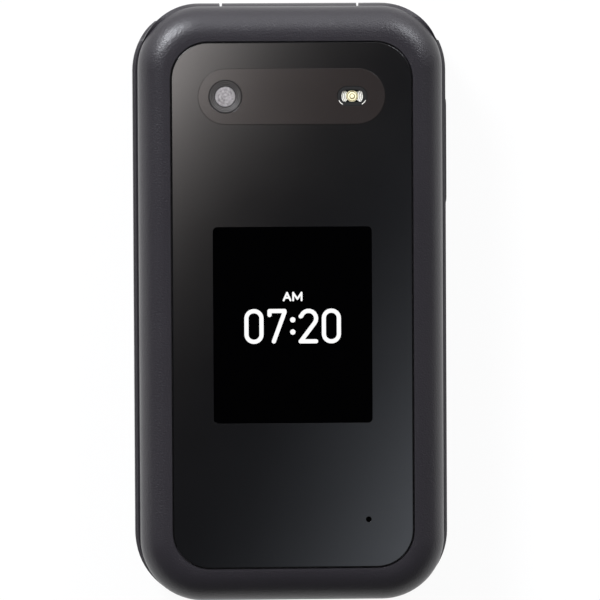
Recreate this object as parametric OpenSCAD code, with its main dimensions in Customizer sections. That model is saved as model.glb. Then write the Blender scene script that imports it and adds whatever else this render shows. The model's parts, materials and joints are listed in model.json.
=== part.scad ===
// Flip phone, closed and lying on its back.
// +X is the right side seen from above, +Y the hinge end and +Z the lid's outer face.
// The origin is the middle of the back. Lengths are millimetres, angles degrees.

/* [Base] */
// Length from the free end to the hinge barrel
body_l = 107; // [104:0.5:112]
// Width of the base
body_w = 56.2; // [55.4:0.2:60]
// Corner radius of the base seen from above
corner_r = 12; // [11.4:0.2:13]
// Rounding along the edge of the back
back_round = 4.5; // [3.6:0.1:4.8]
// Thickness of the base's side walls
base_wall = 1.6; // [1.4:0.1:1.8]
// Bevel along the rim of the base
rim_bevel = 0.5; // [0.3:0.1:0.7]
// Depth of the keypad below the rim
deck_drop = 0.8; // [0.7:0.1:1]
// Thickness of the plate that the keys come through
deck_t = 0.8; // [0.7:0.1:1.2]
// Rim left beside the sunk keypad
deck_side = 3.8; // [3:0.1:3.9]
// Rim left between the sunk keypad and the hinge end
deck_hinge_rim = 12.5; // [12.2:0.1:14]
// Rim left between the sunk keypad and the free end
deck_free_rim = 9.5; // [8.5:0.1:10]

/* [Lid] */
// How far the lid stays inside the base's sides
lid_side_inset = 0.85; // [0.6:0.05:1.2]
// How far the lid stays inside the hinge end
lid_hinge_inset = 0.6; // [0.4:0.05:0.8]
// Corner radius of the lid seen from above
lid_corner_r = 11.2; // [10.6:0.2:12]
// Rounding of the lid's shoulder
lid_round = 5.6; // [5:0.1:5.8]
// Thickness of the lid's side walls
lid_wall = 1.2; // [1:0.1:1.4]
// Gap between the closed halves
flip_gap = 0.4; // [0.35:0.05:0.6]
// Thickness of the frame round the inner screen
bezel_t = 1.2; // [1.1:0.1:1.6]
// Thickness of the shell's plate under the cover window
ledge_t = 0.8; // [0.6:0.1:1]
// Thickness of the cover window
window_t = 0.9; // [0.7:0.1:1.2]
// From the cover window to the lid's sides
window_side_margin = 5.8; // [5.7:0.1:6.7]
// From the cover window to the lid's ends
window_end_margin = 6.35; // [6.2:0.05:7.6]
// Corner radius of the cover window
window_r = 6.6; // [5:0.2:7.4]
// Groove left round the cover window
window_groove = 0.2; // [0.15:0.05:0.3]

/* [Hinge] */
// Radius of the hinge ears and of the barrel
hinge_r = 4; // [3.9:0.05:4.1]
// Height of the hinge axis above the rim
hinge_rise = 0.2; // [0.1:0.05:0.3]
// How far the lid opens
open_angle = 155; // [140:1:158]
// Width of the lid's hinge barrel
barrel_w = 24; // [21:0.5:26]
// Gap between the barrel and each ear
ear_gap = 0.5; // [0.3:0.1:0.8]
// Gap round the barrel and the ears
swing_gap = 0.2; // [0.2:0.05:0.3]
// Bore through the barrel
barrel_bore_r = 2.9; // [2.7:0.05:3]
// Radius of the hinge shaft
shaft_r = 1.5; // [1.2:0.1:1.7]
// Running clearance of the hinge's round fits
hinge_fit = 0.05; // [0.03:0.01:0.08]

/* [Layers of the base] */
// Thickness of the battery cover
cover_t = 1.1; // [0.9:0.1:1.3]
// Battery thickness
battery_t = 4.4; // [4:0.1:5]
// From the battery to the base's sides
battery_side_margin = 9.1; // [8.9:0.1:11]
// From the battery to the cover's hinge end, for the readers, the loudspeaker and the motor
parts_room = 31.3; // [31.1:0.1:34.8]
// Thickness of the rear housing's floor
floor_t = 0.6; // [0.5:0.1:0.9]
// Thickness of the main board
board_t = 0.8; // [0.6:0.1:1]
// Thickness of the dome sheet
sheet_t = 0.1; // [0.1:0.05:0.2]
// Height of the key domes above their sheet
dome_h = 0.2; // [0.15:0.05:0.25]
// Radius of a key dome
dome_r = 2; // [1.6:0.1:2.2]
// Thickness of the silicone key mat
mat_t = 0.2; // [0.15:0.05:0.3]

/* [Keys] */
// Travel of a key
key_travel = 0.4; // [0.3:0.05:0.45]
// Gap between number keys side by side
column_gap = 1; // [0.9:0.1:2]
// Gap between rows of keys
row_gap = 2.3; // [1.8:0.1:3]
// From the number keys to the sides of the sunk keypad
key_side_margin = 1.4; // [1.2:0.1:2.4]
// From the last row to the free end of the sunk keypad
key_end_margin = 2.8; // [2.2:0.1:4]
// Gap between the soft, call and end keys and the four-way ring
side_key_gap = 1.9; // [1.7:0.1:2.6]
// Length of the soft, call and end keys
side_key_l = 11.6; // [10:0.1:12]
// Spacing of the soft keys above the call and end keys
side_pitch_y = 13.8; // [13.4:0.1:14.2]
// Corner radius of the keys
key_corner_r = 2; // [1:0.2:3]
// Rise of the key tops above the sunk keypad
key_proud = 0.6; // [0.4:0.1:0.7]
// Gap round each key
key_gap = 0.15; // [0.1:0.05:0.2]
// How far a key's flange reaches under the plate
flange_reach = 0.35; // [0.3:0.05:0.4]
// Thickness of a key's flange
flange_t = 0.5; // [0.4:0.1:0.6]
// Radius of the four-way ring
nav_r = 11.2; // [10.4:0.1:11.4]
// Radius of the centre key
ok_r = 5.2; // [4.5:0.1:5.4]
// Length of the volume rocker
rocker_l = 18.8; // [16:0.2:20]
// Height of the volume rocker
rocker_h = 2.8; // [2.4:0.1:3]
// Middle of the volume rocker, from the hinge end
rocker_from_hinge = 26.6; // [25:0.2:30]
// How far the volume rocker stands out of the side
rocker_proud = 0.3; // [0.2:0.05:0.5]

/* [Screens and camera] */
// Thickness of the inner screen module
display_t = 2.4; // [2.2:0.1:2.6]
// From the inner screen module to the lid's sides
display_side_margin = 4; // [3.8:0.1:5]
// From the inner screen module to the lid's free end
display_free_margin = 15.7; // [15.6:0.1:17]
// From the inner screen module to the lid's hinge end
display_hinge_margin = 25.7; // [25.2:0.1:28]
// Thickness of the inner screen's clear panel
panel_t = 0.7; // [0.5:0.1:0.8]
// Thickness of the lid's metal chassis
chassis_t = 0.5; // [0.4:0.1:0.6]
// Thickness of the lid's board
lid_board_t = 0.7; // [0.6:0.1:0.9]
// Thickness of the outer screen module
outer_t = 2.1; // [1.8:0.1:2.3]
// Width of the outer screen module
outer_w = 32; // [30:0.5:33]
// Length of the outer screen module
outer_l = 39; // [37:0.5:40]
// Middle of the outer screen, towards the free end from the window's middle
outer_shift = 3.5; // [2:0.1:5]
// Length of the camera window
island_l = 33.3; // [31:0.1:35]
// Width of the camera window
island_w = 9.9; // [8.8:0.1:11]
// Rise of the camera window above the cover window
island_rise = 0.12; // [0.05:0.01:0.2]
// Middle of the camera window, from the cover window's hinge end
island_drop = 9.65; // [9.2:0.05:11]
// Camera, left of the middle
camera_x = 11.8; // [10.8:0.1:12.2]
// Flash, right of the middle
flash_x = 10.8; // [9:0.1:12]
// Radius of the camera ring
camera_ring_r = 2.95; // [2.6:0.05:3.2]
// Radius of the camera's lens glass
camera_lens_r = 1.9; // [1.6:0.05:2]

/* [Sockets] */
// Bore of the headset socket
jack_bore_r = 1.8; // [1.76:0.01:1.85]
// Depth of the headset socket's bore
jack_depth = 13; // [12.6:0.1:13.2]
// From the headset socket to the screw beside it
jack_screw_gap = 3.5; // [3.2:0.1:4]
// Width of the charging socket
usb_w = 7.6; // [7:0.1:8.4]
// Height of the charging socket
usb_h = 2.7; // [2.4:0.1:2.8]

/* [Hidden] */
$fn = 96;
eps = 0.01;

// Heights in the base, from the back up
slack = 0.1;
z_battery = cover_t + slack;
z_floor = z_battery + battery_t + slack;
z_board = z_floor + floor_t;
z_sheet = z_board + board_t;
z_dome_top = z_sheet + sheet_t + dome_h;
mat_foot = dome_h + 0.15;
z_mat = z_sheet + sheet_t + mat_foot;
press_gap = 0.05;
z_key = z_mat + mat_t + press_gap + key_travel;
z_deck_under = z_key + flange_t + slack;
z_deck = z_deck_under + deck_t;
z_rim = z_deck + deck_drop;
z_key_top = z_deck + key_proud;
z_part = back_round + slack;
housing_inset = base_wall + 0.2;

// Heights in the lid, from the gap up
z_lid = z_rim + flip_gap;
z_bezel_top = z_lid + bezel_t;
stack_play = 0.05;
z_display = z_bezel_top + stack_play;
z_chassis = z_display + display_t + stack_play;
z_lid_board = z_chassis + chassis_t;
z_lid_parts = z_lid_board + lid_board_t;
outer_seat = 0.15;
z_outer = z_lid_parts + outer_seat;
z_window = z_outer + outer_t + stack_play;
z_ledge = z_window - ledge_t;
z_top = z_window + window_t;

// Outlines
half_w = body_w / 2;
half_l = body_l / 2;
lid_w = body_w - 2 * lid_side_inset;
lid_l = body_l - lid_hinge_inset;
lid_y = -lid_hinge_inset / 2;
lid_free_y = -half_l;
lid_hinge_y = half_l - lid_hinge_inset;
window_w = lid_w - 2 * window_side_margin;
window_l = lid_l - 2 * window_end_margin;
window_shift = 0.15;
window_y = lid_y - window_shift;
window_play = 0.15;

// Hinge
y_hinge = half_l - hinge_r;
z_hinge = z_rim + hinge_rise;
ear_x = barrel_w / 2 + ear_gap;
shoulder_y = lid_hinge_y - lid_round - y_hinge;
shoulder_z = z_top - lid_round - z_hinge;
relief_r = lid_round + 0.35;
relief_y = y_hinge + shoulder_y * cos(open_angle) + shoulder_z * sin(open_angle);
relief_z = z_hinge - shoulder_y * sin(open_angle) + shoulder_z * cos(open_angle);
back_end_inset = 3;
y_back_end = half_l - back_end_inset;
back_end_round = 3;
hinge_wall = 1;
cavity_gap = swing_gap + 0.05;
ear_inset = 1;
y_cover_end = y_back_end - 3.5;

// Keypad
deck_top = half_l - deck_hinge_rim;
deck_bottom = -half_l + deck_free_rim;
deck_half_w = half_w - deck_side;
deck_corner_r = 5;
nav_drop = 14.7;
nav_y = deck_top - nav_drop;
nav_gap = 0.25;
nav_hole_r = ok_r + 0.3;
nav_flange_reach = 0.3;
nav_flange_t = 0.3;
nav_under_gap = 0.38;
z_nav_flange = z_deck_under - nav_under_gap - nav_flange_t;
nav_pad_r = 9;
nav_pad_hole_r = ok_r + 0.4;
nav_pad_t = 0.2;
z_nav_pad = z_nav_flange - 0.22 - nav_pad_t;
side_key_margin = 0.8;
side_key_w = deck_half_w - side_key_margin - nav_r - side_key_gap;
side_key_x = deck_half_w - side_key_margin - side_key_w / 2;
number_top = nav_y - side_pitch_y / 2 - side_key_l / 2 - row_gap;
key_w = (2 * deck_half_w - 2 * key_side_margin - 2 * column_gap) / 3;
key_l = (number_top - deck_bottom - key_end_margin - 3 * row_gap) / 4;
key_pitch_x = key_w + column_gap;
key_pitch_y = key_l + row_gap;
first_row_y = number_top - key_l / 2;
number_grid = [
    for (row = [0:3]) for (column = [-1:1])
        [column * key_pitch_x, first_row_y - row * key_pitch_y]
];
side_grid = [
    for (sy = [1, -1]) for (sx = [-1, 1])
        [sx * side_key_x, nav_y + sy * side_pitch_y / 2]
];
nav_dome_r = 8.3;

// Sides
y_rocker = half_l - rocker_from_hinge;
z_rocker = z_deck_under - 0.4 - rocker_h / 2;
rocker_flange_t = 0.5;
rocker_gap = 0.3;
x_rocker = half_w - base_wall - rocker_gap;
rocker_flange_reach = 1;
switch_gap = 0.3;
switch_x = x_rocker - rocker_flange_t - switch_gap;
switch_w = 1;

// Free end of the base
jack_wall = 0.7;
jack_body_gap = 0.8;
jack_size = 2 * (jack_bore_r + jack_wall);
free_screw_inset = 8.1;
free_screw_x = half_w - free_screw_inset;
jack_x = free_screw_x - jack_screw_gap - jack_size / 2;
z_jack = z_sheet - jack_size / 2 - 0.05;
y_jack_mouth = -half_l + 0.7;
y_jack_end = y_jack_mouth + jack_depth + 0.5;
usb_l = 5.6;
y_usb_mouth = -half_l + 0.3;
z_usb = z_board + 0.15;
mic_x = -14;
mic_margin = 4;
mic_y = -half_l + mic_margin;
mic_w = 3.6;
mic_l = 3;
mic_h = 1.1;
mic_hole_r = 0.5;
mic_bore_r = 0.4;

// Battery bay and the parts beyond it
bay_gap = 0.3;
bay_wall = 0.9;
bay_clear = 0.6;
battery_y0 = y_jack_end + bay_clear + bay_wall + bay_gap;
bay_end = y_cover_end - parts_room;
battery_w = body_w - 2 * battery_side_margin;
battery_l = bay_end - bay_wall - bay_gap - battery_y0;
battery_y = battery_y0 + battery_l / 2;
contacts_w = 10;
contacts_l = 2.6;
contacts_gap = 0.3;
contacts_y = bay_end + contacts_gap + contacts_l / 2;
finger_w = 0.8;
finger_pitch = 3;
reader_h = 1.3;
reader_gap = 1.8;
sim_w = 15.2;
sim_l = 13;
sim_side_margin = 4.3;
sim_x = -half_w + sim_side_margin + sim_w / 2;
sim_y = bay_end + reader_gap + sim_l / 2;
card_w = 11.6;
card_l = 13;
card_x = 0.6;
card_gap = 0.9;
card_y = contacts_y + contacts_l / 2 + card_gap + card_l / 2;
shield_side_margin = 5.5;
shield_card_gap = 2.2;
shield_w = half_w - shield_side_margin - card_x - card_w / 2 - shield_card_gap;
shield_l = 21;
shield_h = 1.4;
shield_x = half_w - shield_side_margin - shield_w / 2;
shield_y = bay_end + reader_gap + shield_l / 2;
speaker_w = 12.6;
speaker_l = 10.4;
speaker_gap = 1.5;
speaker_x = -12.6;
speaker_y = sim_y + sim_l / 2 + speaker_gap + speaker_l / 2;
speaker_rim = 1.5;
grille_pitch = 1.9;
grille_r = 0.45;
motor_r = 4;
motor_t = 2.7;
motor_x = card_x;
motor_gap = 0.8;
motor_y = card_y + card_l / 2 + motor_gap + motor_r;
antenna_w = 14;
antenna_l = 7;
antenna_t = 1.6;
antenna_x = -14;
antenna_y = y_jack_end - bay_clear - antenna_l / 2;

// Screws of the base
screw_r = 0.75;
screw_head_r = 1.3;
screw_head_t = 0.8;
screw_slot_l = 1.4;
screw_slot_w = 0.35;
screw_slot_t = 0.4;
screw_play = 0.05;
boss_r = 1.9;
screw_bite = 0.2;
free_screw_margin = 5;
hinge_screw_inset = 6.8;
hinge_screw_gap = 1.5;
base_screw_spots = [
    for (side = [-1, 1]) [side * free_screw_x, -half_l + free_screw_margin],
    for (side = [-1, 1]) [side * (half_w - hinge_screw_inset), deck_top + hinge_screw_gap]
];

// Screws and bumpers of the lid
lid_screw_r = 0.7;
lid_head_r = 1.2;
lid_head_t = 0.8;
lid_boss_r = 2;
lid_boss_t = 1;
bumper_r = 1.6;
bumper_rise = flip_gap - 0.05;
bumper_t = 0.3;
lid_screw_l = 4.4;
lid_free_screw_x = lid_w / 2 - 10.25;
lid_free_screw_y = lid_free_y + 3.5;
lid_hinge_screw_x = lid_w / 2 - 6.75;
lid_hinge_screw_y = lid_hinge_y - 11.4;
free_screw_spots = [for (side = [-1, 1]) [side * lid_free_screw_x, lid_free_screw_y]];
hinge_screw_spots = [for (side = [-1, 1]) [side * lid_hinge_screw_x, lid_hinge_screw_y]];
lid_screw_spots = concat(free_screw_spots, hinge_screw_spots);

// Inside the lid
lid_inner_round = lid_round - lid_wall;
display_w = lid_w - 2 * display_side_margin;
display_l = lid_l - display_free_margin - display_hinge_margin;
panel_w = display_w + 2;
panel_l = display_l + 3;
panel_recess = 0.1;
display_y = lid_free_y + display_free_margin + display_l / 2;
camera_y = window_y + window_l / 2 - island_drop;
camera_block = 7.6;
camera_block_h = 1.2;
chassis_inset = 2.25;
chassis_free_gap = 10.5;
chassis_hinge_gap = 9.5;
chassis_free_y = lid_free_y + chassis_free_gap;
chassis_hinge_y = lid_hinge_y - chassis_hinge_gap;
board_over = 0.2;
lid_board_w = display_w + 2 * board_over;
ear_slot_margin = 6.3;
ear_slot_y = lid_free_y + ear_slot_margin;
ear_slot_w = 10;
ear_slot_l = 1.1;
earpiece_w = 12;
earpiece_l = 6;
earpiece_t = 2.4;
lid_mic_x = 13.4;
lid_mic_margin = 8.55;
lid_mic_y = window_y - window_l / 2 + lid_mic_margin;
lid_mic_w = 3.2;
lid_mic_l = 2.4;
lid_mic_h = 1.1;
lid_mic_r = 0.5;
island_gap = 0.08;
camera_hole_r = camera_ring_r + 0.05;
flash_w = 5.3;
flash_l = 3.5;
flash_inner_w = 4.05;
flash_inner_l = 2.25;
led_w = 3.2;
led_l = 2;

// Flexible printed links through the hinge
flex_t = 0.12;
flex_w = 2.4;
flex_roll_r = 1.7;
bush_r = barrel_bore_r - hinge_fit;
bush_hole_r = flex_roll_r + 0.3;
bush_in_barrel = 4.5;
bush_in_ear = 3;
flex_room = 2.9;
bush_x0 = barrel_w / 2 - bush_in_barrel;
bush_x1 = ear_x + bush_in_ear;
flex_end_x = bush_x1 + flex_room;
flex_tab_x = flex_end_x - 0.2 - flex_w / 2;
z_flex = z_deck_under - 0.35;
y_flex_board = deck_top + 0.6;
module_x1 = 0.6;
module_socket = 3.8;
shaft_l = 9.6;

black = [0.1, 0.1, 0.11];
charcoal = [0.19, 0.18, 0.2];
key_grey = [0.16, 0.16, 0.17];
metal = [0.72, 0.73, 0.75];
gold = [0.85, 0.68, 0.3];
green = [0.05, 0.32, 0.2];
glass = [0.04, 0.04, 0.05];

// A flat rectangle with round corners
module rounded_rect(w, l, r) {
    square([w - 2 * r, l], center = true);
    square([w, l - 2 * r], center = true);
    for (sx = [-1, 1])
        for (sy = [-1, 1])
            translate([sx * (w / 2 - r), sy * (l / 2 - r)])
                circle(r);
}

// A plate with round corners between two heights
module plate(w, l, r, z0, z1) {
    translate([0, 0, z0])
        linear_extrude(z1 - z0)
            rounded_rect(w, l, r);
}

module box(w, l, z0, z1) {
    translate([-w / 2, -l / 2, z0])
        cube([w, l, z1 - z0]);
}

module rod(r, z0, z1) {
    translate([0, 0, z0])
        cylinder(r = r, h = z1 - z0);
}

// A rod along X on the hinge axis
module hinge_rod(r, x0, x1) {
    translate([x0, y_hinge, z_hinge])
        rotate([0, 90, 0])
            cylinder(r = r, h = x1 - x0);
}

// A plate with round ends, longer than it is wide
module pill(w, l, z0, z1) {
    plate(w, l, min(w, l) / 2 - eps, z0, z1);
}

// Sweeps an edge section (x from the corner's centre, y as height) round a rounded rectangle
module swept_body(w, l, r, z0, z1) {
    box(w - 2 * r, l - 2 * r, z0, z1);
    for (side = [0, 1]) {
        rotate([0, 0, 180 * side])
            translate([w / 2 - r, 0, 0])
                rotate([90, 0, 0])
                    linear_extrude(l - 2 * r, center = true)
                        children();
        rotate([0, 0, 90 + 180 * side])
            translate([l / 2 - r, 0, 0])
                rotate([90, 0, 0])
                    linear_extrude(w - 2 * r, center = true)
                        children();
    }
    for (sx = [-1, 1])
        for (sy = [-1, 1])
            translate([sx * (w / 2 - r), sy * (l / 2 - r), 0])
                rotate([0, 0, sx > 0 ? (sy > 0 ? 0 : 270) : (sy > 0 ? 90 : 180)])
                    rotate_extrude(angle = 90)
                        children();
}

// Edge section that is rounded at its top
module edge_round_top(r, edge, z0, z1) {
    translate([0, z0])
        square([r, z1 - edge - z0]);
    translate([0, z0])
        square([r - edge, z1 - z0]);
    intersection() {
        translate([r - edge, z1 - edge])
            circle(edge);
        translate([r - edge, z1 - edge])
            square(edge);
    }
}

// Edge section that is rounded at its bottom
module edge_round_bottom(r, edge, z0, z1) {
    translate([0, z0 + z1])
        mirror([0, 1])
            edge_round_top(r, edge, z0, z1);
}

// What the opened lid needs behind the base, and the base's own short back end
module hinge_end_cut() {
    translate([-half_w - 1, relief_y, relief_z])
        rotate([0, 90, 0])
            cylinder(r = relief_r, h = body_w + 2);
    translate([-half_w - 1, y_back_end, -1])
        cube([body_w + 2, back_end_inset + 1, z_rim + 2]);
    difference() {
        translate([-half_w - 1, y_back_end - back_end_round, -1])
            cube([body_w + 2, back_end_round + 1, back_end_round + 1]);
        translate([-half_w - 2, y_back_end - back_end_round, back_end_round])
            rotate([0, 90, 0])
                cylinder(r = back_end_round, h = body_w + 4);
    }
}

// Inside of the base's front housing
module front_cavity() {
    inset = base_wall;
    difference() {
        plate(body_w - 2 * inset, body_l - 2 * inset, corner_r - inset, z_part - 1, z_deck_under);
        translate([-half_w, relief_y, relief_z])
            rotate([0, 90, 0])
                cylinder(r = relief_r + hinge_wall, h = body_w);
        hinge_rod(hinge_r + cavity_gap + hinge_wall, -half_w, half_w);
        translate([-half_w, y_hinge, 0])
            cube([body_w, hinge_r + 1, z_rim]);
    }
}

module number_opening(play) {
    for (spot = number_grid)
        translate([spot[0], spot[1], 0])
            plate(key_w + 2 * play, key_l + 2 * play, key_corner_r + play, z_deck_under - 1, z_deck + 1);
}

module side_opening(play) {
    for (spot = side_grid)
        translate([spot[0], spot[1], 0])
            plate(side_key_w + 2 * play, side_key_l + 2 * play, key_corner_r + play,
                z_deck_under - 1, z_deck + 1);
}

// The four ways out of the free end and up through the rim
module free_end_openings() {
    translate([jack_x, -half_l - 1, z_jack])
        rotate([-90, 0, 0])
            cylinder(r = jack_size / 2 + 0.15, h = base_wall + 2);
    translate([0, -half_l + base_wall / 2, 0])
        box(usb_w + 0.4, base_wall + 1, z_usb - usb_h / 2 - 0.2, z_usb + usb_h / 2 + 0.2);
    translate([mic_x, mic_y, 0])
        rod(mic_hole_r, z_part, z_rim + 1);
}

module base_front_housing() color(charcoal)
    difference() {
        union() {
            difference() {
                swept_body(body_w, body_l, corner_r, z_part, z_rim)
                    polygon([
                        [0, z_part], [corner_r, z_part], [corner_r, z_rim - rim_bevel],
                        [corner_r - rim_bevel, z_rim], [0, z_rim]
                    ]);
                hinge_end_cut();
            }
            intersection() {
                hinge_rod(hinge_r, -half_w, half_w);
                plate(body_w - 2 * ear_inset, body_l, corner_r - ear_inset,
                    z_hinge - hinge_r - 1, z_hinge + hinge_r + 1);
            }
        }
        difference() {
            front_cavity();
            for (spot = base_screw_spots)
                translate([spot[0], spot[1], 0])
                    rod(boss_r, z_sheet, z_rim);
        }
        hinge_rod(hinge_r + cavity_gap, -ear_x, ear_x);
        translate([0, (deck_top + deck_bottom) / 2, 0])
            plate(2 * deck_half_w, deck_top - deck_bottom, deck_corner_r, z_deck, z_rim + 1);
        number_opening(key_gap);
        side_opening(key_gap);
        translate([0, nav_y, 0])
            rod(nav_r + nav_gap, z_deck_under - 1, z_deck + 1);
        free_end_openings();
        translate([half_w - base_wall / 2, y_rocker, z_rocker])
            cube([base_wall + 1, rocker_l + 2 * key_gap, rocker_h + 2 * key_gap], center = true);
        for (spot = base_screw_spots)
            translate([spot[0], spot[1], 0])
                rod(screw_r + screw_play, z_sheet - 1, z_deck_under + screw_bite + 0.1);
        hinge_rod(shaft_r + hinge_fit, -ear_x - shaft_l / 2 - 0.6, -ear_x + 1);
        hinge_rod(barrel_bore_r, ear_x - 1, bush_x1);
        hinge_rod(bush_hole_r, bush_x1 - 1, flex_end_x);
        translate([flex_tab_x, (y_flex_board + y_hinge) / 2, 0])
            box(flex_w + 0.4, y_hinge - y_flex_board + 1, z_flex - 0.25, z_deck_under);
        translate([flex_tab_x, y_hinge - 0.2, 0])
            box(flex_w + 0.4, 1.4, z_flex - 0.25, z_hinge - flex_roll_r + 0.6);
    }

// The pieces that come through the rear housing's floor
module floor_openings(play) {
    translate([sim_x, sim_y, 0])
        box(sim_w + 2 * play, sim_l + 2 * play, z_floor - 1, z_board + 1);
    translate([card_x, card_y, 0])
        box(card_w + 2 * play, card_l + 2 * play, z_floor - 1, z_board + 1);
    translate([shield_x, shield_y, 0])
        box(shield_w + 2 * play, shield_l + 2 * play, z_floor - 1, z_board + 1);
    translate([speaker_x, speaker_y, 0])
        box(speaker_w + 2 * play, speaker_l + 2 * play, z_floor - 1, z_board + 1);
    translate([motor_x, motor_y, 0])
        rod(motor_r + play, z_floor - 1, z_board + 1);
    translate([0, contacts_y, 0])
        box(contacts_w + 2 * play, contacts_l + 2 * play, z_floor - 1, z_board + 1);
    translate([mic_x, mic_y, 0])
        box(mic_w + 2 * play, mic_l + 2 * play, z_floor - 1, z_board + 1);
    socket_openings(play, z_floor - 1, z_board + 1);
}

// Room for the two sockets, which lie half in the board
module socket_openings(play, z0, z1) {
    translate([jack_x, (-half_l + y_jack_end + play) / 2, 0])
        box(jack_size + 2 * play, y_jack_end + play + half_l, z0, z1);
    translate([0, -half_l + usb_l / 2, 0])
        box(usb_w + 2 * play, usb_l + 0.6 + 2 * play, z0, z1);
}

// Room for the side switches behind the volume rocker
module rocker_notch(z0, z1) {
    translate([half_w - (half_w - switch_x) / 2, y_rocker, 0])
        box(half_w - switch_x, rocker_l + 2 * rocker_flange_reach + 1.6, z0, z1);
}

module base_rear_housing() color(black) {
    difference() {
        plate(body_w - 2 * housing_inset, body_l - 2 * housing_inset, corner_r - housing_inset,
            z_floor, z_board);
        translate([-half_w, relief_y, relief_z])
            rotate([0, 90, 0])
                cylinder(r = relief_r + hinge_wall + 0.3, h = body_w);
        translate([-half_w, y_hinge - hinge_r - 0.4, 0])
            cube([body_w, body_l, z_rim]);
        floor_openings(0.3);
        rocker_notch(z_floor - 1, z_board + 1);
        for (spot = base_screw_spots)
            translate([spot[0], spot[1], 0])
                rod(screw_r + screw_play, z_floor - 1, z_board + 1);
    }
    translate([0, battery_y, 0])
        difference() {
            plate(battery_w + 2 * (bay_gap + bay_wall), battery_l + 2 * (bay_gap + bay_wall), 2,
                z_battery + slack, z_floor);
            plate(battery_w + 2 * bay_gap, battery_l + 2 * bay_gap, 1, 0, z_floor + 1);
            translate([0, battery_l / 2 + bay_gap + bay_wall / 2, 0])
                box(contacts_w - 1, bay_wall + 1, z_battery + 1, z_floor - 0.6);
        }
}

module cover_profile(inset) {
    edge_round_bottom(corner_r - inset, back_round - inset, inset, z_part + (inset > 0 ? 1 : 0));
}

module battery_cover() color(charcoal)
    difference() {
        swept_body(body_w, body_l, corner_r, 0, z_part)
            cover_profile(0);
        hinge_end_cut();
        difference() {
            swept_body(body_w - 2 * cover_t, body_l - 2 * cover_t, corner_r - cover_t,
                cover_t, z_part + 1)
                cover_profile(cover_t);
            translate([-half_w, y_cover_end, -1])
                cube([body_w, body_l, z_rim]);
        }
        translate([jack_x, -half_l - 1, z_jack])
            rotate([-90, 0, 0])
                cylinder(r = jack_size / 2 + 0.15, h = base_wall + 2);
        for (row = [-1:1])
            for (column = [-2:2])
                translate([speaker_x + grille_pitch * column, speaker_y + grille_pitch * row, 0])
                    rod(grille_r, -1, cover_t + 1);
    }

module battery() color([0.25, 0.26, 0.3])
    translate([0, battery_y, 0])
        plate(battery_w, battery_l, 1, z_battery, z_battery + battery_t);

module main_board() color(green) {
    difference() {
        plate(body_w - 2 * housing_inset - 0.6, body_l - 2 * housing_inset - 0.6,
            corner_r - housing_inset - 0.3, z_board, z_sheet);
        translate([-half_w, y_hinge - hinge_r - 1.7, 0])
            cube([body_w, body_l, z_rim]);
        socket_openings(0.2, z_board - 1, z_sheet + 1);
        rocker_notch(z_board - 1, z_sheet + 1);
        for (spot = base_screw_spots)
            translate([spot[0], spot[1], 0])
                rod(screw_r + 0.15, z_board - 1, z_sheet + 1);
        translate([mic_x, mic_y, 0])
            rod(mic_hole_r, z_board - 1, z_sheet + 1);
    }
    for (side = [-1, 1])
        translate([switch_x - 0.1 - switch_w / 2, y_rocker + side * (rocker_l / 2 - 3.4), 0])
            box(switch_w, 3.4, z_sheet, z_sheet + 1);
}

// A shallow metal dome standing on z = 0
module dome() {
    ball_r = (dome_r * dome_r + dome_h * dome_h) / (2 * dome_h);
    rotate_extrude()
        intersection() {
            translate([0, dome_h - ball_r])
                circle(ball_r, $fn = 360);
            square([dome_r + 1, dome_h + 1]);
        }
}

module dome_sheet() color(metal) {
    sheet_bottom = first_row_y - 3 * key_pitch_y - key_l / 2;
    sheet_top = nav_y + side_pitch_y / 2 + side_key_l / 2;
    translate([0, (sheet_top + sheet_bottom) / 2, 0])
        plate(2 * deck_half_w - 1, sheet_top - sheet_bottom, 2, z_sheet, z_sheet + sheet_t);
    for (spot = concat(number_grid, side_grid))
        translate([spot[0], spot[1], z_sheet + sheet_t])
            dome();
    translate([0, nav_y, z_sheet + sheet_t]) {
        dome();
        for (turn = [0:90:270])
            rotate([0, 0, turn])
                translate([nav_dome_r - 1.4, 0, 0])
                    scale(0.6)
                        dome();
    }
}

module keymat() color([0.3, 0.3, 0.32]) {
    mat_bottom = first_row_y - 3 * key_pitch_y - key_l / 2 - 0.4;
    mat_top = nav_y + side_pitch_y / 2 + side_key_l / 2 + 0.4;
    mat_w = 2 * deck_half_w - 0.4;
    foot_w = 0.7;
    mat_l = mat_top - mat_bottom;
    difference() {
        translate([0, (mat_top + mat_bottom) / 2, 0])
            difference() {
                plate(mat_w, mat_l, 2.2, z_sheet + sheet_t, z_mat + mat_t);
                plate(mat_w - 2 * foot_w, mat_l - 2 * foot_w, 1.5, z_sheet, z_mat);
                box(mat_w, 2 * foot_w + 4, z_sheet - 1, z_mat);
            }
        translate([0, nav_y, 0])
            rod(nav_r + 0.8, z_sheet, z_mat + 1);
    }
    for (spot = concat(number_grid, side_grid))
        translate([spot[0], spot[1], 0])
            rod(1, z_dome_top + press_gap, z_mat);
}

module rf_shield() color(metal)
    translate([shield_x, shield_y, 0])
        difference() {
            plate(shield_w, shield_l, 1, z_board - shield_h, z_board);
            plate(shield_w - 0.6, shield_l - 0.6, 0.8, z_board - shield_h + 0.3, z_board + 1);
        }

module loudspeaker() color(black)
    translate([speaker_x, speaker_y, 0]) {
        plate(speaker_w, speaker_l, speaker_rim, cover_t + 0.3, z_board);
        plate(speaker_w - 2 * speaker_rim, speaker_l - 2 * speaker_rim, 2, cover_t + 0.1, cover_t + 0.3);
    }

module vibration_motor() color(metal)
    translate([motor_x, motor_y, 0])
        rod(motor_r, z_board - motor_t, z_board);

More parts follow.
